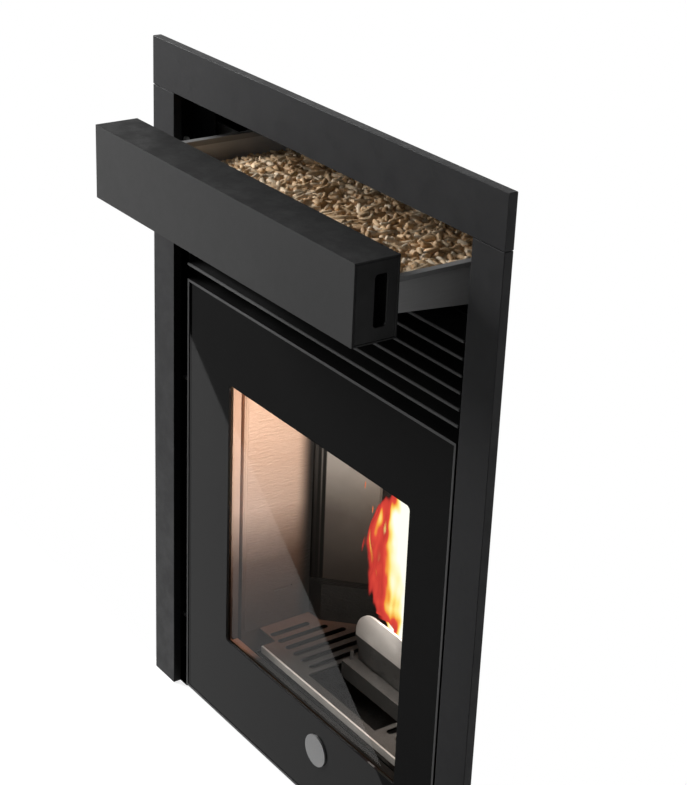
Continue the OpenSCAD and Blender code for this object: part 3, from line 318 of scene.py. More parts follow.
def recess_material():
    """Black heat resistant paint inside the opening."""
    return powder_coat("black_paint", grey(9), 0.7, 0.08, 0.0001)


def grille_material():
    """Black blades with a painted highlight: their folded front edges are coloured grey."""
    p = powder_coat("grille_paint", grey(8), 0.65, 0.08, 0.0001)
    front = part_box("hot_air_grille")[0][1]
    lip = p.span(p.axis("Y"), front + 0.0015, front + 0.0018, 1.0, 0.0)
    # Painted highlight: the blades' front lips are grey
    p.colour(p.mix(lip, grey(8), grey(86)))
    return p


def trim_material():
    """The door's folded edge: black paint, with a painted highlight that colours its thin front grey."""
    p = powder_coat("door_edge", grey(14), 0.5, 0.12, 0.00005)
    highlit_front = p.span(p.axis("Y", "Normal"), -0.9, -0.6, 1.0, 0.0)
    # Painted highlight: faces that look to the front are grey
    p.colour(p.mix(highlit_front, grey(14), grey(84)))
    return p


def door_face_material():
    """Smooth black enamel. A painted reflection of the trim makes a deeper black band down the hinge side.
    """
    p = Paint("door_face", grey(34), 0.03, 0.0, 0.045)
    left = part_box("door_panel")[0][0]
    inside = p.span(p.axis("X"), left + 0.005, left + 0.0056)
    # Painted reflection: a near black band along the hinge side stands for the trim's dark reflection
    p.colour(p.mix(inside, grey(2), varied(p, grey(34), 0.05)))
    p.roughness(p.span(p.noise(22.0, 4.0, 0.6), 0.3, 0.7, 0.015, 0.035))
    return p


def badge_material():
    """Turned aluminium: fine rings round the middle."""
    p = Paint("badge_metal", grey(128), 0.35, 0.6, 0.5)
    lo, hi = box_mm("badge")
    middle = (lo + hi) / 2
    across = p.add("VectorMath", operation="SUBTRACT")
    p.links.new(p.place(), across.inputs[0])
    across.inputs[1].default_value = at(*middle)
    length = p.add("VectorMath", operation="LENGTH")
    p.links.new(across.outputs[0], length.inputs[0])
    rings = p.math("SINE", p.math("MULTIPLY", length.outputs["Value"], 9000.0))
    p.colour(p.mix(p.span(rings, -1, 1), grey(112), grey(144)))
    p.bump(p.span(rings, -1, 1), 0.00002, 0.5)
    return p


def glass_material():
    """Clear ceramic glass, faintly amber, with a thin smoke film low down."""
    p = Paint("ceramic_glass", (1, 1, 1, 1), 0.0, 0.0, 0.5)
    clear = p.add("BsdfTransparent")
    gloss = p.add("BsdfGlossy")
    gloss.inputs["Roughness"].default_value = 0.02
    gloss.inputs["Color"].default_value = (0.42, 0.42, 0.42, 1)
    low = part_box("door_glass")[0][2]
    film = p.math("MULTIPLY", p.span(p.axis("Z"), low, low + 0.2, 1.0, 0.0), p.noise(30.0, 5.0, 0.7))
    p.links.new(p.mix(film, (0.97, 0.96, 0.94, 1), (0.8, 0.78, 0.75, 1)), clear.inputs["Color"])
    fresnel = p.add("Fresnel")
    fresnel.inputs["IOR"].default_value = 1.45
    outside = p.math("SUBTRACT", 1.0, p.add("NewGeometry").outputs["Backfacing"])
    p.show(p.math("MULTIPLY", fresnel.outputs[0], outside), clear, gloss)
    return p


def ragged_height(p, scale):
    """The height, shifted by slow noise, so that a stain doesn't end in a level line."""
    stain = p.noise(scale, 5.0, 0.65)
    return p.math("ADD", p.axis("Z"), p.math("MULTIPLY", p.math("SUBTRACT", stain, 0.5), 0.05))


def heat_stain(p):
    """The tone of heated plate by its height: pale copper high up, sooty brown at the foot. The darkening
    towards the foot is partly painted shade, where the firelight falls off.
    """
    low, high = (c[2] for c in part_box("firebox_liners"))
    climb = p.span(ragged_height(p, 9.0), low, high - 0.06)
    # Partly stain and partly painted shade: darker towards the foot, where the firelight falls off
    return p.ramp(climb, [
        (0.0, srgb(72, 58, 51)),
        (0.16, srgb(112, 90, 79)),
        (0.42, srgb(228, 204, 190)),
        (1.0, srgb(226, 188, 162)),
    ])


def within(p, node, grow):
    """1 inside a node's outline as seen from the front, grown by so many metres."""
    lo, hi = (Vector(c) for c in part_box(node))
    middle, half = (lo + hi) / 2, (hi - lo) / 2
    beside = p.math("SUBTRACT", p.away_from("X", middle.x), half.x)
    above = p.math("SUBTRACT", p.away_from("Z", middle.z), half.z)
    return p.span(p.math("MAXIMUM", beside, above), grow - 0.0001, grow + 0.0001, 1.0, 0.0)


def copper_wall_material():
    """Hammered, heat-stained side plates, darker along their rear edges."""
    p = Paint("fire_steel", srgb(205, 160, 125), 0.38, 0.2, 0.5)
    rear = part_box("corner_liners")[0][1]
    # The rear edges are coloured dark grey
    rear_edge_dark = p.span(p.axis("Y"), rear - 0.024, rear - 0.002)
    p.colour(p.mix(rear_edge_dark, heat_stain(p), grey(46)))
    dents = p.noise(1.0, 3.0, 0.6, p.stretched((260, 95, 430)))
    p.bump(dents, 0.0014, 0.8)
    p.bump(p.noise(700.0, 3.0), 0.00006, 0.3)
    p.roughness(p.span(p.noise(26.0, 4.0), 0.3, 0.7, 0.34, 0.5))
    return p


# Where the painted copper glow of the firelight on the window ledge and on the hearth fades out, in metres
# from the middle
LEDGE_GLOW_FADE = (-0.15, -0.11)
HEARTH_GLOW_FADE = (-0.16, -0.07)


def stained_paint(name, node, grow):
    """Black paint, burnt off to stained steel within a node's outline. Faces that look up are dark grey,
    with a painted copper glow of the firelight at their left end.
    """
    p = powder_coat(name, grey(9), 0.6, 0.1, 0.00003)
    # Painted light: the firelight's copper glow on the ledge's left end
    left = p.span(p.axis("X"), *LEDGE_GLOW_FADE, 1.0, 0.0)
    ledge = p.mix(left, grey(30), srgb(198, 142, 114))
    bare = p.mix(p.upward(), heat_stain(p), ledge)
    p.colour(p.mix(within(p, node, grow), p.face(), bare))
    return p


def rear_plate_material():
    """Grey steel plates in the rear corners, darker towards the grate, partly smoke and partly painted
    shade, with painted light and shade on their folded edge.
    """
    p = Paint("rear_plates", grey(150), 0.55, 0.12, 0.4)
    lo, hi = (Vector(c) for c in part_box("corner_liners"))
    # Partly smoke and partly painted shade: the plates darken towards the grate, where the firelight falls
    # off
    climb = p.span(ragged_height(p, 12.0), lo.z - 0.02, hi.z - 0.1)
    plate = p.ramp(climb, [
        (0.0, srgb(52, 47, 44)),
        (0.3, srgb(96, 91, 88)),
        (0.7, srgb(168, 165, 161)),
        (1.0, srgb(184, 182, 178)),
    ])
    middle, half = (lo.x + hi.x) / 2, (hi.x - lo.x) / 2
    inward = p.math("SUBTRACT", half, p.away_from("X", middle))
    # Painted light and shade on the folded edge: dark strips, and one pale strip where the fold catches the
    # light
    tones = ((0.0, 66), (0.3, 84), (0.36, 26), (0.52, 34), (0.6, 170), (0.68, 34), (0.84, 30), (0.9, 255))
    fold = p.ramp(p.span(inward, 0.0, 0.016), [(place, grey(level)) for place, level in tones])
    p.colour(p.mix(1.0, plate, fold, "MULTIPLY"))
    p.bump(p.noise(500.0, 3.0), 0.0001, 0.35)
    return p


def hearth_material():
    """Grey iron with ash dust, a painted highlight on the front lip, painted shade on the slot walls, and a
    painted copper glow of the firelight on the left.
    """
    p = Paint("hearth_iron", grey(90), 0.5, 0.25, 0.5)
    dust = p.span(p.noise(40.0, 6.0, 0.7), 0.45, 0.75)
    # Painted light: the firelight's copper glow on the hearth's left end
    left = p.span(p.axis("X"), *HEARTH_GLOW_FADE, 1.0, 0.0)
    base = p.mix(left, grey(66), srgb(134, 104, 90))
    base = p.mix(p.math("MULTIPLY", dust, 0.22), base, srgb(120, 116, 112))
    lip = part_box("hearth_plate")[0][1]
    # Painted highlight: a pale line along the front lip
    lip_highlight = p.span(p.axis("Y"), lip + 0.002, lip + 0.0024, 1.0, 0.0)
    # Painted shade: steep faces behind the lip, the slot walls, are near black
    steep = p.span(p.axis("Z", "Normal"), 0.2, 0.5, 1.0, 0.0)
    behind = p.span(p.axis("Y"), lip + 0.008, lip + 0.009)
    p.colour(p.mix(p.math("MULTIPLY", steep, behind), p.mix(lip_highlight, base, grey(240)), grey(6)))
    p.roughness(p.span(dust, 0.0, 1.0, 0.36, 0.7))
    p.bump(p.noise(300.0, 5.0, 0.7), 0.0003, 0.5)
    return p


def burner_material(name="burner_iron", colour=grey(98)):
    """Cast iron with ash specks, as on the pot and its support."""
    p = Paint(name, colour, 0.5, 0.55, 0.5)
    specks = p.span(p.cells(420.0), 0.0, 0.16, 1.0, 0.0)
    patch = p.span(p.noise(60.0, 5.0, 0.7), 0.45, 0.7)
    base = varied(p, colour, 0.18, 20.0)
    p.colour(p.mix(p.math("MULTIPLY", specks, patch), base, srgb(196, 186, 176)))
    p.roughness(p.span(patch, 0.0, 1.0, 0.42, 0.7))
    p.bump(p.noise(360.0, 6.0, 0.7), 0.0004, 0.6)
    return p


# How far the flame plate stands above the pot's rim, in millimetres
PLATE_RISE = 37


def pot_material():
    """The pot, whose upright flame plate is pale with fresh ash."""
    p = burner_material("pot_iron", grey(84))
    lo, hi = (Vector(c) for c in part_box("burner_pot"))
    rim = hi.z - PLATE_RISE * MM
    above = p.span(p.axis("Z"), rim - 0.0005, rim + 0.0005)
    front = p.span(p.axis("Y"), lo.y + 0.0034, lo.y + 0.0038, 1.0, 0.0)
    ash = p.mix(p.noise(55.0, 5.0, 0.65), srgb(214, 212, 210), srgb(236, 234, 232))
    p.colour(p.mix(p.math("MULTIPLY", above, front), p.face(), ash))
    return p


def tray_material():
    """Grey sheet, darker at its folded rim and scuffed by pellets."""
    p = sheet_steel("tray_steel", grey(204), 0.5, 0.12, 0.0, (500, 30, 500))
    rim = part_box("drawer_tray")[1][2]
    fold = p.span(p.axis("Z"), rim - 0.0062, rim - 0.0056)
    scuff = p.span(p.noise(26.0, 6.0, 0.75), 0.62, 0.7)
    worn = p.mix(p.math("MULTIPLY", scuff, 0.3), p.face(), grey(50))
    p.colour(p.mix(p.math("MULTIPLY", fold, 0.6), worn, grey(96)))
    return p


def plastic_material(name, colour, rough):
    """Moulded plastic with a fine grain."""
    p = Paint(name, colour, rough, 0.0, 0.4)
    p.colour(varied(p, colour, 0.06, 30.0))
    p.bump(p.noise(1500.0, 2.0), 0.00005, 0.3)
    return p


def pellet_material():
    """Pressed wood, each pellet of its own tone, with the die's length-wise streaks."""
    p = Paint("pellets", srgb(205, 166, 112), 0.62, 0.0, 0.3)
    tone = p.add("Attribute", attribute_name="tone").outputs["Fac"]
    body = p.ramp(tone, [
        (0.0, srgb(190, 154, 114)),
        (0.35, srgb(228, 194, 150)),
        (0.7, srgb(244, 216, 178)),
        (1.0, srgb(252, 236, 210)),
    ])
    grain = p.noise(900.0, 4.0, 0.7)
    p.colour(p.mix(p.span(grain, 0.35, 0.7, 0.0, 0.4), body, srgb(168, 130, 92)))
    p.bump(grain, 0.0004, 0.4)
    return p


def rope_material():
    """Glass fibre rope: pale yarns with greyer patches."""
    p = Paint("seal_rope", srgb(168, 162, 150), 0.9, 0.0, 0.1)
    p.colour(p.mix(p.noise(160.0, 4.0, 0.7), srgb(120, 116, 108), srgb(196, 190, 178)))
    p.bump(p.noise(2500.0, 3.0), 0.0002, 0.6)
    p.set("Sheen Weight", 0.2)
    return p


zinc = sheet_steel("zinc_steel", grey(176), 0.38, 0.6, 0.13)
burner_iron = burner_material()
side_panel = side_panel_material()
SLOT_MATERIALS = {
    "surround_paint": surround_material(),
    "drawer_paint": drawer_material(),
    "black_paint": recess_material(),
    "door_face": door_face_material(),
    "door_edge": trim_material(),
    "badge_metal": badge_material(),
    "ceramic_glass": glass_material(),
    "seal_rope": rope_material(),
    "tray_steel": tray_material(),
    "zinc_steel": zinc,
    "dark_steel": powder_coat("dark_steel", grey(70), 0.5, 0.25),
    "flue_steel": sheet_steel("flue_steel", grey(160), 0.36, 0.6, 0.0, (70, 70, 700)),
    "fire_steel": copper_wall_material(),
    "hearth_iron": burner_iron,
    "fan_alloy": sheet_steel("fan_alloy", grey(190), 0.3, 0.7, 0.0, (700, 60, 60)),
    "motor_iron": powder_coat("motor_iron", grey(96), 0.45, 0.35, 0.0002),
    "black_plastic": plastic_material("black_plastic", grey(34), 0.42),
    "red_plastic": plastic_material("red_plastic", srgb(150, 22, 16), 0.25),
    "pellets": pellet_material(),
}
NODE_MATERIALS = {
    "side_panel_left": side_panel,
    "side_panel_right": side_panel,
    "hot_air_grille": grille_material(),
    "hearth_plate": hearth_material(),
    "burner_pot": pot_material(),
    "corner_liners": rear_plate_material(),
    "door_frame": stained_paint("frame_paint", "door_glass", 0.008),
    "front_plate": stained_paint("plate_paint", "door_seals", -0.009),
    "firebox_shell": stained_paint("shell_paint", "door_seals", -0.009),
    "ash_pan": burner_material("pan_iron", grey(34)),
}
slot_of = {row["node"]: row["material_slot"] for row in frame["record"]["subparts"]}
for name, obj in NODES.items():
    paint = NODE_MATERIALS.get(name) or SLOT_MATERIALS[slot_of[name]]
    for slot in obj.material_slots:
        slot.material = paint.mat


# Softened edges

# The width of the rounded edges of sheet metal and castings, in millimetres
EDGE_WIDTHS = {
    0.6: ("surround_top", "surround_left", "surround_right", "drawer_front", "drawer_tray"),
    0.35: ("door_trim", "drawer_end_caps", "hearth_plate", "burner_support", "burner_pot", "door_panel"),
    0.5: ("control_box", "base_tray", "chassis_pan", "hopper", "front_plate"),
}


def soften(node, width):
    """Rounds a node's sharp edges in the picture."""
    obj = NODES[node]
    weld = obj.modifiers.new("weld", "WELD")
    weld.merge_threshold = 0.00001
    bevel = obj.modifiers.new("edges", "BEVEL")
    bevel.width = width * MM
    bevel.segments = 2
    bevel.limit_method = "ANGLE"
    bevel.angle_limit = math.radians(40)
    bevel.use_clamp_overlap = True


for width, nodes in EDGE_WIDTHS.items():
    for node in nodes:
        soften(node, width)


# New pieces

def make(name, verts, faces, paint, body, smooth=True):
    """A mesh piece that rides on a body."""
    mesh = bpy.data.meshes.new(name)
    mesh.from_pydata(verts, [], faces)
    mesh.update()
    mesh.polygons.foreach_set("use_smooth", [smooth] * len(mesh.polygons))
    mesh.materials.append(paint.mat)
    obj = bpy.data.objects.new(name, mesh)
    bpy.context.scene.collection.objects.link(obj)
    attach(obj, body)
    return obj


class Shape:
    """Gathers many small forms into one mesh."""

    def __init__(self):
        self.verts = []
        self.faces = []

    def ring_stack(self, rings):
        """Joins rings of equal length, each a list of points, and closes both ends."""
        start = len(self.verts)
        count = len(rings[0])
        for ring in rings:
            self.verts.extend(ring)
        for i in range(len(rings) - 1):
            for j in range(count):
                a = start + i * count + j
                b = start + i * count + (j + 1) % count
                self.faces.append((a, b, b + count, a + count))
        last = start + (len(rings) - 1) * count
        self.faces.append(tuple(start + j for j in reversed(range(count))))
        self.faces.append(tuple(last + j for j in range(count)))

    def turned(self, profile, place, turn, sides=12, phase=0.0):
        """A lathe form along local Z from (radius, height) pairs."""
        rings = []
        for radius, height in profile:
            ring = []
            for j in range(sides):
                angle = phase + 2 * math.pi * j / sides
                point = Vector((radius * math.cos(angle), radius * math.sin(angle), height))
                ring.append(place + turn @ point)
            rings.append(ring)
        self.ring_stack(rings)


def facing(axis):
    """The turn that carries local Z onto this axis."""
    return Vector((0, 0, 1)).rotation_difference(Vector(axis)).to_matrix()


def hex_bolts(name, places, axis, size, paint, body):
    """Hexagon heads with a washer, chamfered at the top."""
    shape = Shape()
    turn = facing(axis)
    r = size * MM
    washer = [(r * 1.35, 0), (r * 1.35, r * 0.2), (r * 1.2, r * 0.28)]
    head = [(r, r * 0.25), (r, r * 0.95), (r * 0.82, r * 1.12)]
    for place in places:
        shape.turned(washer, place, turn, 20)
        shape.turned(head, place, turn, 6, 0.3)
    make(name, shape.verts, shape.faces, paint, body, False)


def pan_screws(name, places, axis, size, paint, body):
    """Round-headed screws with a shallow round recess."""
    shape = Shape()
    turn = facing(axis)
    r = size * MM
    dome = [(r, 0), (r, r * 0.18), (r * 0.86, r * 0.42), (r * 0.55, r * 0.56), (r * 0.42, r * 0.58),
            (r * 0.4, r * 0.3), (r * 0.05, r * 0.28)]
    for place in places:
        shape.turned(dome, place, turn, 18)
    make(name, shape.verts, shape.faces, paint, body)


# Loose pellets in the drawer

# Layers of pellets: how deep each lies below the bed's surface in millimetres, and its number of pellets
PELLET_LAYERS = ((7.0, 1700), (3.6, 1900), (1.0, 1700))
# The pellets' radius, their lengths, and their middles' least distance from the bed's edge, in millimetres
PELLET_RADIUS = 2.9
PELLET_LENGTHS = (9, 20)
PELLET_INSET = 4.5


def pellet_form(shape, tones, rng, place, turn, radius, length, bend):
    """One pressed pellet: a short, slightly bent rod with broken ends."""
    sides = 8
    half = length / 2
    chip = radius * 0.14
    steps = [(-half, 0.84), (-half + chip, 0.98), (0.0, 1.0), (half - chip, 0.99), (half, 0.86)]
    rings = []
    skew = [rng.uniform(-0.25, 0.25) for _ in range(2)]
    for along, girth in steps:
        ring = []
        for j in range(sides):
            angle = 2 * math.pi * j / sides
            r = radius * girth * (1 + 0.02 * math.sin(3 * angle + along * 900))
            slant = skew[0] * math.cos(angle) + skew[1] * math.sin(angle)
            x = along + r * slant * (abs(along) > half * 0.7)
            sag = bend * (along * along - half * half)
            ring.append(place + turn @ Vector((r * math.cos(angle), r * math.sin(angle) + sag, x)))
        rings.append(ring)
    before = len(shape.verts)
    shape.ring_stack(rings)
    tones.extend([rng.random()] * (len(shape.verts) - before))


def lying_turn(rng, tilt):
    """A turn that lays a rod near the horizontal, in any direction, along the slope."""
    heading = rng.uniform(0, 2 * math.pi)
    return Euler((math.radians(90) + rng.gauss(0, tilt), rng.uniform(0, 6.28), heading), "XYZ").to_matrix()


def tone_piece(obj, tones):
    """Gives each vertex the tone of its pellet."""
    layer = obj.data.attributes.new("tone", "FLOAT", "POINT")
    layer.data.foreach_set("value", tones)


def pellet_heap(surface, lo, hi):
    """Layers of single pellets that lie along the bed's surface."""
    rng = random.Random(11)
    least_bed = 4
    clearance = 3
    shape = Shape()
    tones = []
    for layer, (sink, count) in enumerate(PELLET_LAYERS):
        for _ in range(count):
            x = rng.uniform(lo.x + PELLET_INSET, hi.x - PELLET_INSET)
            depth = rng.uniform(lo.y + PELLET_INSET, hi.y - PELLET_INSET)
            z = surface(x, depth)
            if z is None or z < lo.z + least_bed:
                continue
            lump = 3.0 * noise.noise(Vector((x * 0.035, depth * 0.035, 7.0)))
            length = rng.uniform(*PELLET_LENGTHS) * MM
            turn = lying_turn(rng, 0.16 if layer < 2 else 0.3)
            place = at(x, depth, z - sink + lump + rng.uniform(-1.2, 1.2))
            reach = turn @ Vector((0, 0, length / 2))
            side = abs(reach.x) / MM + clearance
            fore = abs(reach.y) / MM + clearance
            if x - side < lo.x or x + side > hi.x or depth - fore < lo.y or depth + fore > hi.y:
                continue
            bend = rng.uniform(-1.5, 1.5)
            pellet_form(shape, tones, rng, place, turn, PELLET_RADIUS * MM, length, bend)
    heap = make("pellet_heap", shape.verts, shape.faces, SLOT_MATERIALS["pellets"], "drawer")
    heap.data.set_sharp_from_angle(angle=math.radians(50))
    tone_piece(heap, tones)
    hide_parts("pellet_bed")


def pellet_mound(surface, lo, hi):
    """The lumpy ground under the single pellets, in a dark pellet tone that is painted shade between them.
    """
    columns, rows = 84, 56
    margin = 0.5
    below = 7.5
    verts, faces, grid = [], [], {}
    for i in range(columns + 1):
        for j in range(rows + 1):
            x = lo.x + margin + (hi.x - lo.x - 2 * margin) * i / columns
            depth = lo.y + margin + (hi.y - lo.y - 2 * margin) * j / rows
            z = surface(x, depth)
            if z is None:
                z = lo.z + 1
            lump = 1.6 * noise.noise(Vector((x * 0.2, depth * 0.2, 3.0)))
            grid[i, j] = len(verts)
            verts.append(at(x, depth, max(lo.z + margin, z - below + lump)))
    for i in range(columns):
        for j in range(rows):
            faces.append((grid[i, j], grid[i + 1, j], grid[i + 1, j + 1], grid[i, j + 1]))
    mound = make("pellet_mound", verts, faces, SLOT_MATERIALS["pellets"], "drawer")
    # Painted shade: the ground takes one dark pellet tone, for the shade between the pellets
    tone_piece(mound, [0.15] * len(verts))


def drawer_pellets():
    """Loose pellets in place of the plain bed, whose top gives their height."""
    mesh = NODES["pellet_bed"].data
    corners = [v.co.copy() for v in mesh.vertices]
    tree = BVHTree.FromPolygons(corners, [tuple(p.vertices) for p in mesh.polygons])
    lo, hi = box_mm("pellet_bed")

    def surface(x, depth):
        """The height of the bed's top here, or None beside it."""
        hit = tree.ray_cast(at(x, depth, hi.z + 50), Vector((0, 0, -1)))
        return hit[0].z / MM if hit[0] else None

    pellet_heap(surface, lo, hi)
    pellet_mound(surface, lo, hi)


drawer_pellets()


# Fire

# How far the fire reaches from its middle line, by height, in millimetres
FLAME_REACH = (
    (130, 30), (185, 36), (200, 46), (235, 52), (275, 50), (315, 42), (350, 28), (385, 14), (415, 3),
)
# The sheets of fire: their turn in degrees, their offset, and half their width between the pot's walls
FLAME_SHEETS = ((54, 0, 25), (54, 9, 18), (54, -9, 18), (-36, 0, 34), (0, 0, 40))
# Where each spark is: x, depth and height in millimetres
SPARK_PLACES = ((-62, 135, 326), (-46, 135, 302), (-30, 135, 311), (-20, 150, 352), (34, 128, 380))


def flame_reach(height):
    """Half the fire's width at this height."""
    for (z0, r0), (z1, r1) in zip(FLAME_REACH, FLAME_REACH[1:]):
        if height <= z1:
            return r0 + (r1 - r0) * max(0, height - z0) / (z1 - z0)
    return FLAME_REACH[-1][1]


def flame_material(middle):
    """Tongues of fire: a white core, a thin yellow skin and wide red edges, torn by rising noise."""
    p = Paint("flame", (0, 0, 0, 1), 1.0)
    low, high = FLAME_REACH[0][0] * MM, FLAME_REACH[-1][0] * MM
    warp = p.add("TexNoise")
    p.links.new(p.stretched((1.0, 1.0, 0.5)), warp.inputs["Vector"])
    warp.inputs["Scale"].default_value = 26.0
    warp.inputs["Detail"].default_value = 2.0
    bent = p.add("VectorMath", operation="MULTIPLY_ADD")
    p.links.new(warp.outputs["Color"], bent.inputs[0])
    bent.inputs[1].default_value = (0.05, 0.05, 0.06)
    p.links.new(p.place(), bent.inputs[2])
    parts = p.add("SeparateXYZ")
    p.links.new(bent.outputs[0], parts.inputs[0])
    x = p.math("SUBTRACT", parts.outputs["X"], middle.x + 0.025)
    y = p.math("SUBTRACT", parts.outputs["Y"], middle.y + 0.025)
    climb = p.math("DIVIDE", p.math("SUBTRACT", parts.outputs["Z"], low + 0.03), high - low, True)
    widest = max(r for _, r in FLAME_REACH)
    stops = [((z * MM - low) / (high - low), (r / widest,) * 3 + (1,)) for z, r in FLAME_REACH]
    reach = p.math("MULTIPLY", p.ramp(climb, stops), widest * MM)
    away = p.math("SQRT", p.math("ADD", p.math("MULTIPLY", x, x), p.math("MULTIPLY", y, y)))
    away = p.math("DIVIDE", away, reach)
    licks = p.math("SUBTRACT", p.noise(1.0, 2.0, 0.5, p.stretched((46.0, 46.0, 10.0)), 0.5), 0.5)
    heat = p.math("SUBTRACT", 1.0, p.math("POWER", away, 1.4))
    heat = p.math("ADD", heat, p.math("MULTIPLY", p.math("MULTIPLY", licks, away), 2.1))
    colour = p.ramp(heat, [
        (0.0, (0.3, 0.012, 0.012, 1)),
        (0.16, (0.75, 0.06, 0.05, 1)),
        (0.34, (0.9, 0.09, 0.06, 1)),
        (0.41, (1.0, 0.42, 0.06, 1)),
        (0.52, (1.0, 0.84, 0.25, 1)),
        (0.68, (1.0, 1.0, 0.92, 1)),
    ])
    glow = p.add("Emission")
    p.links.new(colour, glow.inputs["Color"])
    p.links.new(p.span(heat, 0.1, 0.7, 0.85, 1.25), glow.inputs["Strength"])
    p.show(p.span(heat, 0.02, 0.22), p.add("BsdfTransparent"), glow)
    return p


def fire():
    """Crossed sheets over the pot. Low down they stay between its walls, behind the flame plate."""
    lo, hi = box_mm("burner_pot")
    middle = at((lo.x + hi.x) / 2, (lo.y + hi.y) / 2, 0)
    low, high = FLAME_REACH[0][0], FLAME_REACH[-1][0]
    rim = hi.z - 2
    widening = 16
    margin = 8
    paint = flame_material(middle)
    columns, rows = 16, 30
    for index, (angle, offset, inside) in enumerate(FLAME_SHEETS):
        turn = Matrix.Rotation(math.radians(angle), 3, "Z")
        verts, faces = [], []
        for i in range(columns + 1):
            for j in range(rows + 1):
                rise = j / rows
                height = low + rise * (high - low)
                free = min(1.0, max(0.0, (height - rim) / widening))
                half = inside + free * (flame_reach(height) + margin - inside)
                wave = 3 * math.sin(rise * 9 + index * 2 + i * 0.3) * free
                side = (i / columns * 2 - 1) * half
                foot = middle + turn @ Vector((side * MM, (offset + wave) * MM, 0))
                verts.append(foot + Vector((0, 0, height * MM)))
        for i in range(columns):
            for j in range(rows):
                a = i * (rows + 1) + j
                faces.append((a, a + rows + 1, a + rows + 2, a + 1))
        make("flame_%d" % (index + 1), verts, faces, paint, "pot")


def glowing_material():
    """Embers: black crust over orange."""
    p = Paint("embers", grey(20), 0.9)
    heat = p.span(p.noise(240.0, 4.0, 0.7), 0.35, 0.6)
    p.colour(p.mix(heat, grey(22), srgb(255, 120, 30)))
    p.links.new(p.mix(heat, (0.2, 0.01, 0.0, 1), (1.0, 0.35, 0.06, 1)), p.shader.inputs["Emission Color"])
    p.links.new(p.math("MULTIPLY", heat, 1.6), p.shader.inputs["Emission Strength"])
    return p


def embers():
    """Burning pellets, heaped up in the middle of the pot."""
    rng = random.Random(5)
    lo, hi = box_mm("burner_pot")
    inset = 15
    levels = 4
    per_level = 70
    level_rise = 4
    heap_rise = 8
    middle, half = 16, 45
    shape = Shape()
    tones = []
    for level in range(levels):
        for _ in range(per_level):
            x = rng.uniform(lo.x + inset, hi.x - inset)
            depth = rng.uniform(lo.y + inset, hi.y - inset)
            heap = heap_rise * (1 - ((x - middle) / half) ** 2)
            place = at(x, depth, lo.z + 7 + level * level_rise + heap * level / (levels - 1))
            turn = lying_turn(rng, 0.4)
            pellet_form(shape, tones, rng, place, turn, 3 * MM, rng.uniform(8, 17) * MM, 0.0)
    piece = make("burning_pellets", shape.verts, shape.faces, glowing_material(), "pot")
    tone_piece(piece, tones)


def sparks():
    """Short streaks that fly up beside the fire."""
    rng = random.Random(3)
    p = Paint("sparks", (0, 0, 0, 1), 1.0)
    streak = p.mix(p.noise(200.0), (0.8, 0.1, 0.05, 1), (1.0, 0.35, 0.12, 1))
    p.links.new(streak, p.shader.inputs["Emission Color"])
    p.set("Emission Strength", 0.9)
    thin = [(0.1 * MM, -4.5 * MM), (0.5 * MM, -2 * MM), (0.6 * MM, 2 * MM), (0.1 * MM, 4.5 * MM)]
    shape = Shape()
    for x, depth, z in SPARK_PLACES:
        turn = Euler((rng.uniform(-0.25, 0.25), rng.uniform(-0.3, 0.1), 0)).to_matrix()
        shape.turned(thin, at(x, depth, z), turn, 8)
    make("sparks", shape.verts, shape.faces, p, "pot")


fire()
embers()
sparks()


# Rope and tape seals of the door

def rope_path(x0, z0, x1, z1, bend, step):
    """Points round a rounded rectangle, in millimetres, evenly spaced."""
    low_x, low_z, high_x, high_z = x0 + bend, z0 + bend, x1 - bend, z1 - bend
    corners = ((high_x, high_z, 0), (low_x, high_z, 90), (low_x, low_z, 180), (high_x, low_z, 270))
    outline = []
    for cx, cz, start in corners:
        for i in range(9):
            angle = math.radians(start + 90 * i / 8)
            outline.append(Vector((cx + bend * math.cos(angle), cz + bend * math.sin(angle))))
    outline.append(outline[0])
    points = []
    carry = 0.0
    for a, b in zip(outline, outline[1:]):
        length = (b - a).length
        while carry < length:
            points.append(a.lerp(b, carry / length))
            carry += step
        carry -= length
    return points


def door_rope():
    """The braided rope between the door and the front plate."""
    lo, hi = box_mm("door_seals")
    radius = 3.8
    inset = 4.2
    corner = 16
    spacing = 1.6
    depth = hi.y - 4.3
    points = rope_path(lo.x + inset, lo.z + inset, hi.x - inset, hi.z - inset, corner, spacing)
    sides = 14
    rings = []
    for i, point in enumerate(points):
        after = points[(i + 1) % len(points)]
        along = (after - point).normalized()
        out = Vector((along.y, -along.x))
        ring = []
        for j in range(sides):
            angle = 2 * math.pi * j / sides
            r = radius + 0.18 * math.sin(4 * angle + i * 0.62) * math.sin(4 * angle - i * 0.62)
            side = point + out * (r * math.cos(angle))
            ring.append(at(side.x, depth + r * math.sin(angle), side.y))
        rings.append(ring)
    verts = [p for ring in rings for p in ring]
    faces = []
    for i in range(len(rings)):
        here, after = i * sides, (i + 1) % len(rings) * sides
        for j in range(sides):
            k = (j + 1) % sides
            faces.append((here + j, here + k, after + k, after + j))
    rope = make("door_rope", verts, faces, SLOT_MATERIALS["seal_rope"], "door")
    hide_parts("door_seals")


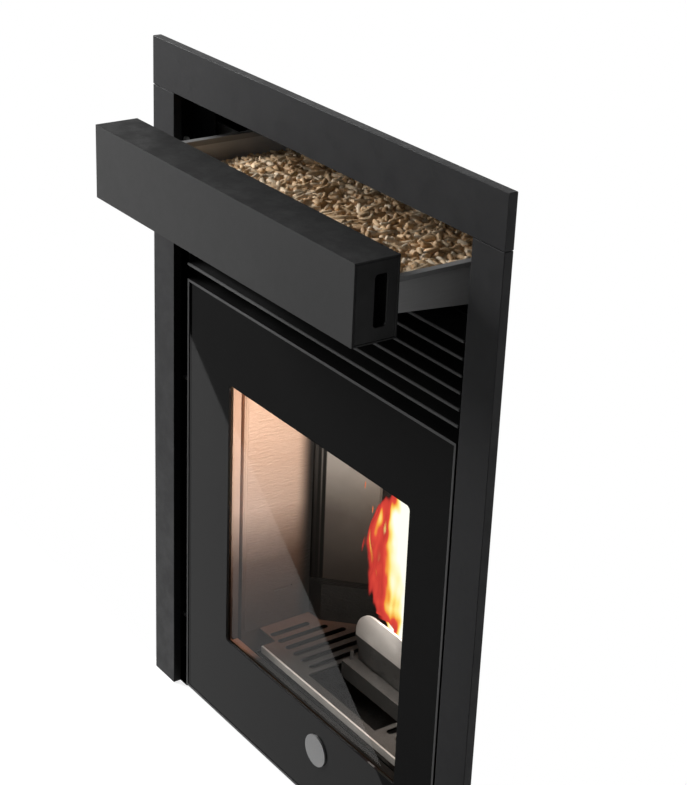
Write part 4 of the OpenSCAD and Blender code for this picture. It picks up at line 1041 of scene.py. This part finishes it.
def glass_tape():
    """The woven tape between the door panel and the glass."""
    lo, hi = box_mm("door_glass")
    front = lo.y - 1.1
    back = lo.y - 0.1
    verts, faces = [], []
    corners = [(lo.x, lo.z), (hi.x, lo.z), (hi.x, hi.z), (lo.x, hi.z)]
    for inset in (0.3, 7.7):
        for k, (x, z) in enumerate(corners):
            sx = inset if k in (0, 3) else -inset
            sz = inset if k in (0, 1) else -inset
            for y in (front, back):
                verts.append(at(x + sx, y, z + sz))
    for k in range(4):
        n = (k + 1) % 4
        outer, inner = 2 * k, 8 + 2 * k
        outer_n, inner_n = 2 * n, 8 + 2 * n
        faces.append((outer, outer_n, inner_n, inner))
        faces.append((outer + 1, inner + 1, inner_n + 1, outer_n + 1))
        faces.append((outer, outer + 1, outer_n + 1, outer_n))
        faces.append((inner, inner_n, inner_n + 1, inner + 1))
    make("glass_tape", verts, faces, SLOT_MATERIALS["seal_rope"], "door", False)


door_rope()
glass_tape()


# Bolts and screws

# The bolts that hold the firebox liners: their places and their heads' radius, in millimetres
BOLT_DEPTH = 168
BOLT_HEIGHTS = (205, 320, 440)
BOLT_RADIUS = 3.2
LINER_SHEET = 2.2
# Casing screws: the radius of their heads and their distance from a panel's edge, in millimetres
SCREW_RADIUS = 3.4
SCREW_EDGE = 7


def spread(low, high, count):
    """Evenly spaced places from low to high."""
    return [low + i * (high - low) / (count - 1) for i in range(count)]


def liner_bolts():
    """Three bolts on each side wall of the firebox."""
    lo, hi = box_mm("firebox_liners")
    for label, x, way in (("left", lo.x + LINER_SHEET, 1), ("right", hi.x - LINER_SHEET, -1)):
        heads = [at(x, BOLT_DEPTH, z) for z in BOLT_HEIGHTS]
        name = "liner_bolts_" + label
        hex_bolts(name, heads, (way, 0, 0), BOLT_RADIUS, burner_iron, "insert")


def casing_screws(name, places, axis):
    """Screws that hold a sheet of the casing."""
    pan_screws(name, places, axis, SCREW_RADIUS, zinc, "insert")


def hardware():
    """The firebox's bolts, and screws round the edges of the casing's panels."""
    liner_bolts()
    lo, hi = box_mm("rear_panel")
    rows = spread(lo.z + 30, hi.z - 30, 6)
    places = [at(x, hi.y, z) for x in (lo.x + SCREW_EDGE, hi.x - SCREW_EDGE) for z in rows]
    places += [at(x, hi.y, z) for x in (-90, 90) for z in (lo.z + SCREW_EDGE, hi.z - SCREW_EDGE)]
    casing_screws("rear_screws", places, (0, 1, 0))
    lo, hi = box_mm("side_panel_right")
    depths = spread(lo.y + 30, hi.y - 15, 5)
    heights = (lo.z + SCREW_EDGE, hi.z - SCREW_EDGE)
    for label, way in (("left", -1), ("right", 1)):
        places = [at(way * hi.x, depth, z) for depth in depths for z in heights]
        casing_screws("side_screws_" + label, places, (way, 0, 0))
    lo, hi = box_mm("top_panel")
    places = [at(x, depth, hi.z) for x in (lo.x + SCREW_EDGE, hi.x - SCREW_EDGE) for depth in depths]
    casing_screws("top_screws", places, (0, 0, 1))


hardware()


# Floor, wall, lamps and world

# The gap between the wall and the casing, and how far the wall is behind the surround's face, in metres
WALL_GAP = 0.001
WALL_BEHIND = 0.0102
# How deep the painted shade in the joint is, and how high it lies over the floor, in millimetres
JOINT_DEPTH = 34
JOINT_LIFT = 0.4


class Backdrop:
    """A stage material that starts with an empty node tree."""

    def __init__(self, name):
        self.mat = bpy.data.materials.new(name)
        self.mat.use_nodes = True
        self.nodes = self.mat.node_tree.nodes
        self.links = self.mat.node_tree.links
        self.nodes.clear()
        self.surface = self.nodes.new("ShaderNodeOutputMaterial").inputs["Surface"]

    def add(self, kind):
        return self.nodes.new("ShaderNode" + kind)

    def math(self, operation, first, second):
        """A clamped sum, product or maximum of two sockets."""
        node = self.add("Math")
        node.operation = operation
        node.use_clamp = True
        self.links.new(first, node.inputs[0])
        self.links.new(second, node.inputs[1])
        return node.outputs[0]

    def glow(self, colour):
        node = self.add("Emission")
        node.inputs["Color"].default_value = colour
        return node

    def camera_or_mirror(self):
        """1 for rays that the camera sees, also in gloss and through glass."""
        path = self.add("LightPath").outputs
        direct = self.math("ADD", path["Is Camera Ray"], path["Is Glossy Ray"])
        return self.math("ADD", direct, path["Is Transmission Ray"])


def stage_piece(name, verts, faces, backdrop):
    """A piece of the surroundings, which isn't part of the insert."""
    mesh = bpy.data.meshes.new(name)
    mesh.from_pydata(verts, [], faces)
    mesh.update()
    mesh.materials.append(backdrop.mat)
    obj = bpy.data.objects.new(name, mesh)
    bpy.context.scene.collection.objects.link(obj)
    return obj


def floor():
    """A pale floor that is white to the camera and throws back little light."""
    b = Backdrop("floor")
    matt = b.add("BsdfDiffuse")
    matt.inputs["Color"].default_value = (0.35, 0.35, 0.35, 1)
    glow = b.glow((0.8, 0.8, 0.8, 1))
    b.links.new(b.camera_or_mirror(), glow.inputs["Strength"])
    both = b.add("AddShader")
    b.links.new(matt.outputs[0], both.inputs[0])
    b.links.new(glow.outputs[0], both.inputs[1])
    b.links.new(both.outputs[0], b.surface)
    half = 12
    verts = [(-half, -half, 0), (half, -half, 0), (half, half, 0), (-half, half, 0)]
    stage_piece("floor", verts, [(0, 1, 2, 3)], b)


def wall():
    """The white wall that the insert is built into, seen from the room only."""
    b = Backdrop("wall")
    front = b.add("Math")
    front.operation = "SUBTRACT"
    front.inputs[0].default_value = 1.0
    b.links.new(b.add("NewGeometry").outputs["Backfacing"], front.inputs[1])
    seen = b.math("MULTIPLY", front.outputs[0], b.camera_or_mirror())
    blend = b.add("MixShader")
    b.links.new(b.math("MAXIMUM", seen, b.add("LightPath").outputs["Is Shadow Ray"]), blend.inputs[0])
    b.links.new(b.add("BsdfTransparent").outputs[0], blend.inputs[1])
    b.links.new(b.add("Emission").outputs[0], blend.inputs[2])
    b.links.new(blend.outputs[0], b.surface)
    wide, high = 5.0, 4.0
    hole_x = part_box("side_panel_right")[1][0] + WALL_GAP
    hole_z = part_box("top_panel")[1][2] + WALL_GAP
    y = FRONT + WALL_BEHIND
    corners = [(-wide, 0), (-hole_x, 0), (-hole_x, hole_z), (hole_x, hole_z), (hole_x, 0), (wide, 0),
               (wide, high), (-wide, high)]
    verts = [(x, y, z) for x, z in corners]
    stage_piece("wall", verts, [(0, 1, 2, 7), (7, 2, 3, 6), (3, 4, 5, 6)], b)


def lightless(name):
    """A material that gives back no light at all."""
    b = Backdrop(name)
    b.links.new(b.glow((0, 0, 0, 1)).outputs[0], b.surface)
    return b


def joint_shade():
    """Painted shade: black sheets in the joint between the hearth and the casing's front corners, behind
    the side bars.
    """
    lo, hi = box_mm("side_panel_right")
    inner = box_mm("door_trim")[1].x
    verts, faces = [], []
    for side in (-1, 1):
        n = len(verts)
        for depth in (lo.y, lo.y + JOINT_DEPTH):
            verts.append(at(side * hi.x, depth, lo.z))
            verts.append(at(side * hi.x, depth, JOINT_LIFT))
            verts.append(at(side * inner, depth, JOINT_LIFT))
        faces += [(n, n + 1, n + 4, n + 3), (n + 1, n + 2, n + 5, n + 4)]
    # Painted shade: lightless sheets where the gap under the casing lies in shade
    stage_piece("joint_shade", verts, faces, lightless("shade")).visible_shadow = False


def dark_card():
    """A black card on the floor that only mirrors see: its edge is the slanted glare line on the door."""
    near = Vector((-1.173, -0.822, 0.002))
    far = Vector((-0.113, -0.408, 0.002))
    along = (far - near).normalized()
    overrun = along * 6
    width = Vector((along.y, -along.x, 0)) * 8
    verts = [near - overrun, far + overrun, far + overrun + width, near - overrun + width]
    card = stage_piece("card", verts, [(0, 1, 2, 3)], lightless("card"))
    for way in ("camera", "diffuse", "shadow", "transmission", "volume_scatter"):
        setattr(card, "visible_" + way, False)


# The studio's lamps: place, size and the level of light that each casts on the middle
LAMPS = {
    "key": ((-1.6, -1.05, 1.35), 0.8, 1.15),
    "front": ((0.7, -3.0, 1.3), 1.6, 0.14),
    "back_left": ((-1.8, 1.9, 1.6), 1.2, 0.6),
    "back_right": ((1.9, 1.7, 1.3), 1.2, 0.6),
}


def area_lamp(name, place, aim, size, power, colour=(1, 1, 1), body=None):
    """A round lamp. One that stands for the fire rides on a body, out of the camera's sight."""
    data = bpy.data.lights.new(name, "AREA")
    data.shape = "DISK"
    data.size = size
    data.energy = power
    data.color = colour
    lamp = bpy.data.objects.new(name, data)
    bpy.context.scene.collection.objects.link(lamp)
    way = Vector(aim) - Vector(place)
    lamp.matrix_world = Matrix.Translation(place) @ way.to_track_quat("-Z", "Y").to_matrix().to_4x4()
    if body:
        lamp.visible_camera = False
        lamp.parent = BODIES[body]
        lamp.matrix_parent_inverse = BODIES[body].matrix_world.inverted()


def lamps():
    """Four studio lamps, and two small ones that stand for the light of the fire and the embers."""
    middle = Vector((0, -0.2, 0.4))
    for name, (place, size, level) in LAMPS.items():
        distance = (Vector(place) - middle).length
        area_lamp(name, place, middle, size, math.pi ** 2 * distance ** 2 * level)
    fire_tone = (1.0, 0.96, 0.92)
    area_lamp("fire_lamp", at(20, 80, 380), at(-167, 84, 426), 0.1, 0.42, fire_tone, "insert")
    ember_tone = (1.0, 0.94, 0.9)
    area_lamp("ember_lamp", at(16, 100, 222), at(-60, 105, 100), 0.06, 0.13, ember_tone, "insert")


def world():
    """A faint even light, white to the camera."""
    sky = bpy.data.worlds.new("world")
    bpy.context.scene.world = sky
    sky.use_nodes = True
    nodes, links = sky.node_tree.nodes, sky.node_tree.links
    nodes.clear()
    out = nodes.new("ShaderNodeOutputWorld")
    plain = nodes.new("ShaderNodeBackground")
    plain.inputs["Strength"].default_value = 0.16
    white = nodes.new("ShaderNodeBackground")
    blend = nodes.new("ShaderNodeMixShader")
    path = nodes.new("ShaderNodeLightPath")
    links.new(path.outputs["Is Camera Ray"], blend.inputs[0])
    links.new(plain.outputs[0], blend.inputs[1])
    links.new(white.outputs[0], blend.inputs[2])
    links.new(blend.outputs[0], out.inputs["Surface"])


floor()
wall()
joint_shade()
dark_card()
lamps()
world()
bpy.context.scene.view_settings.view_transform = "Standard"
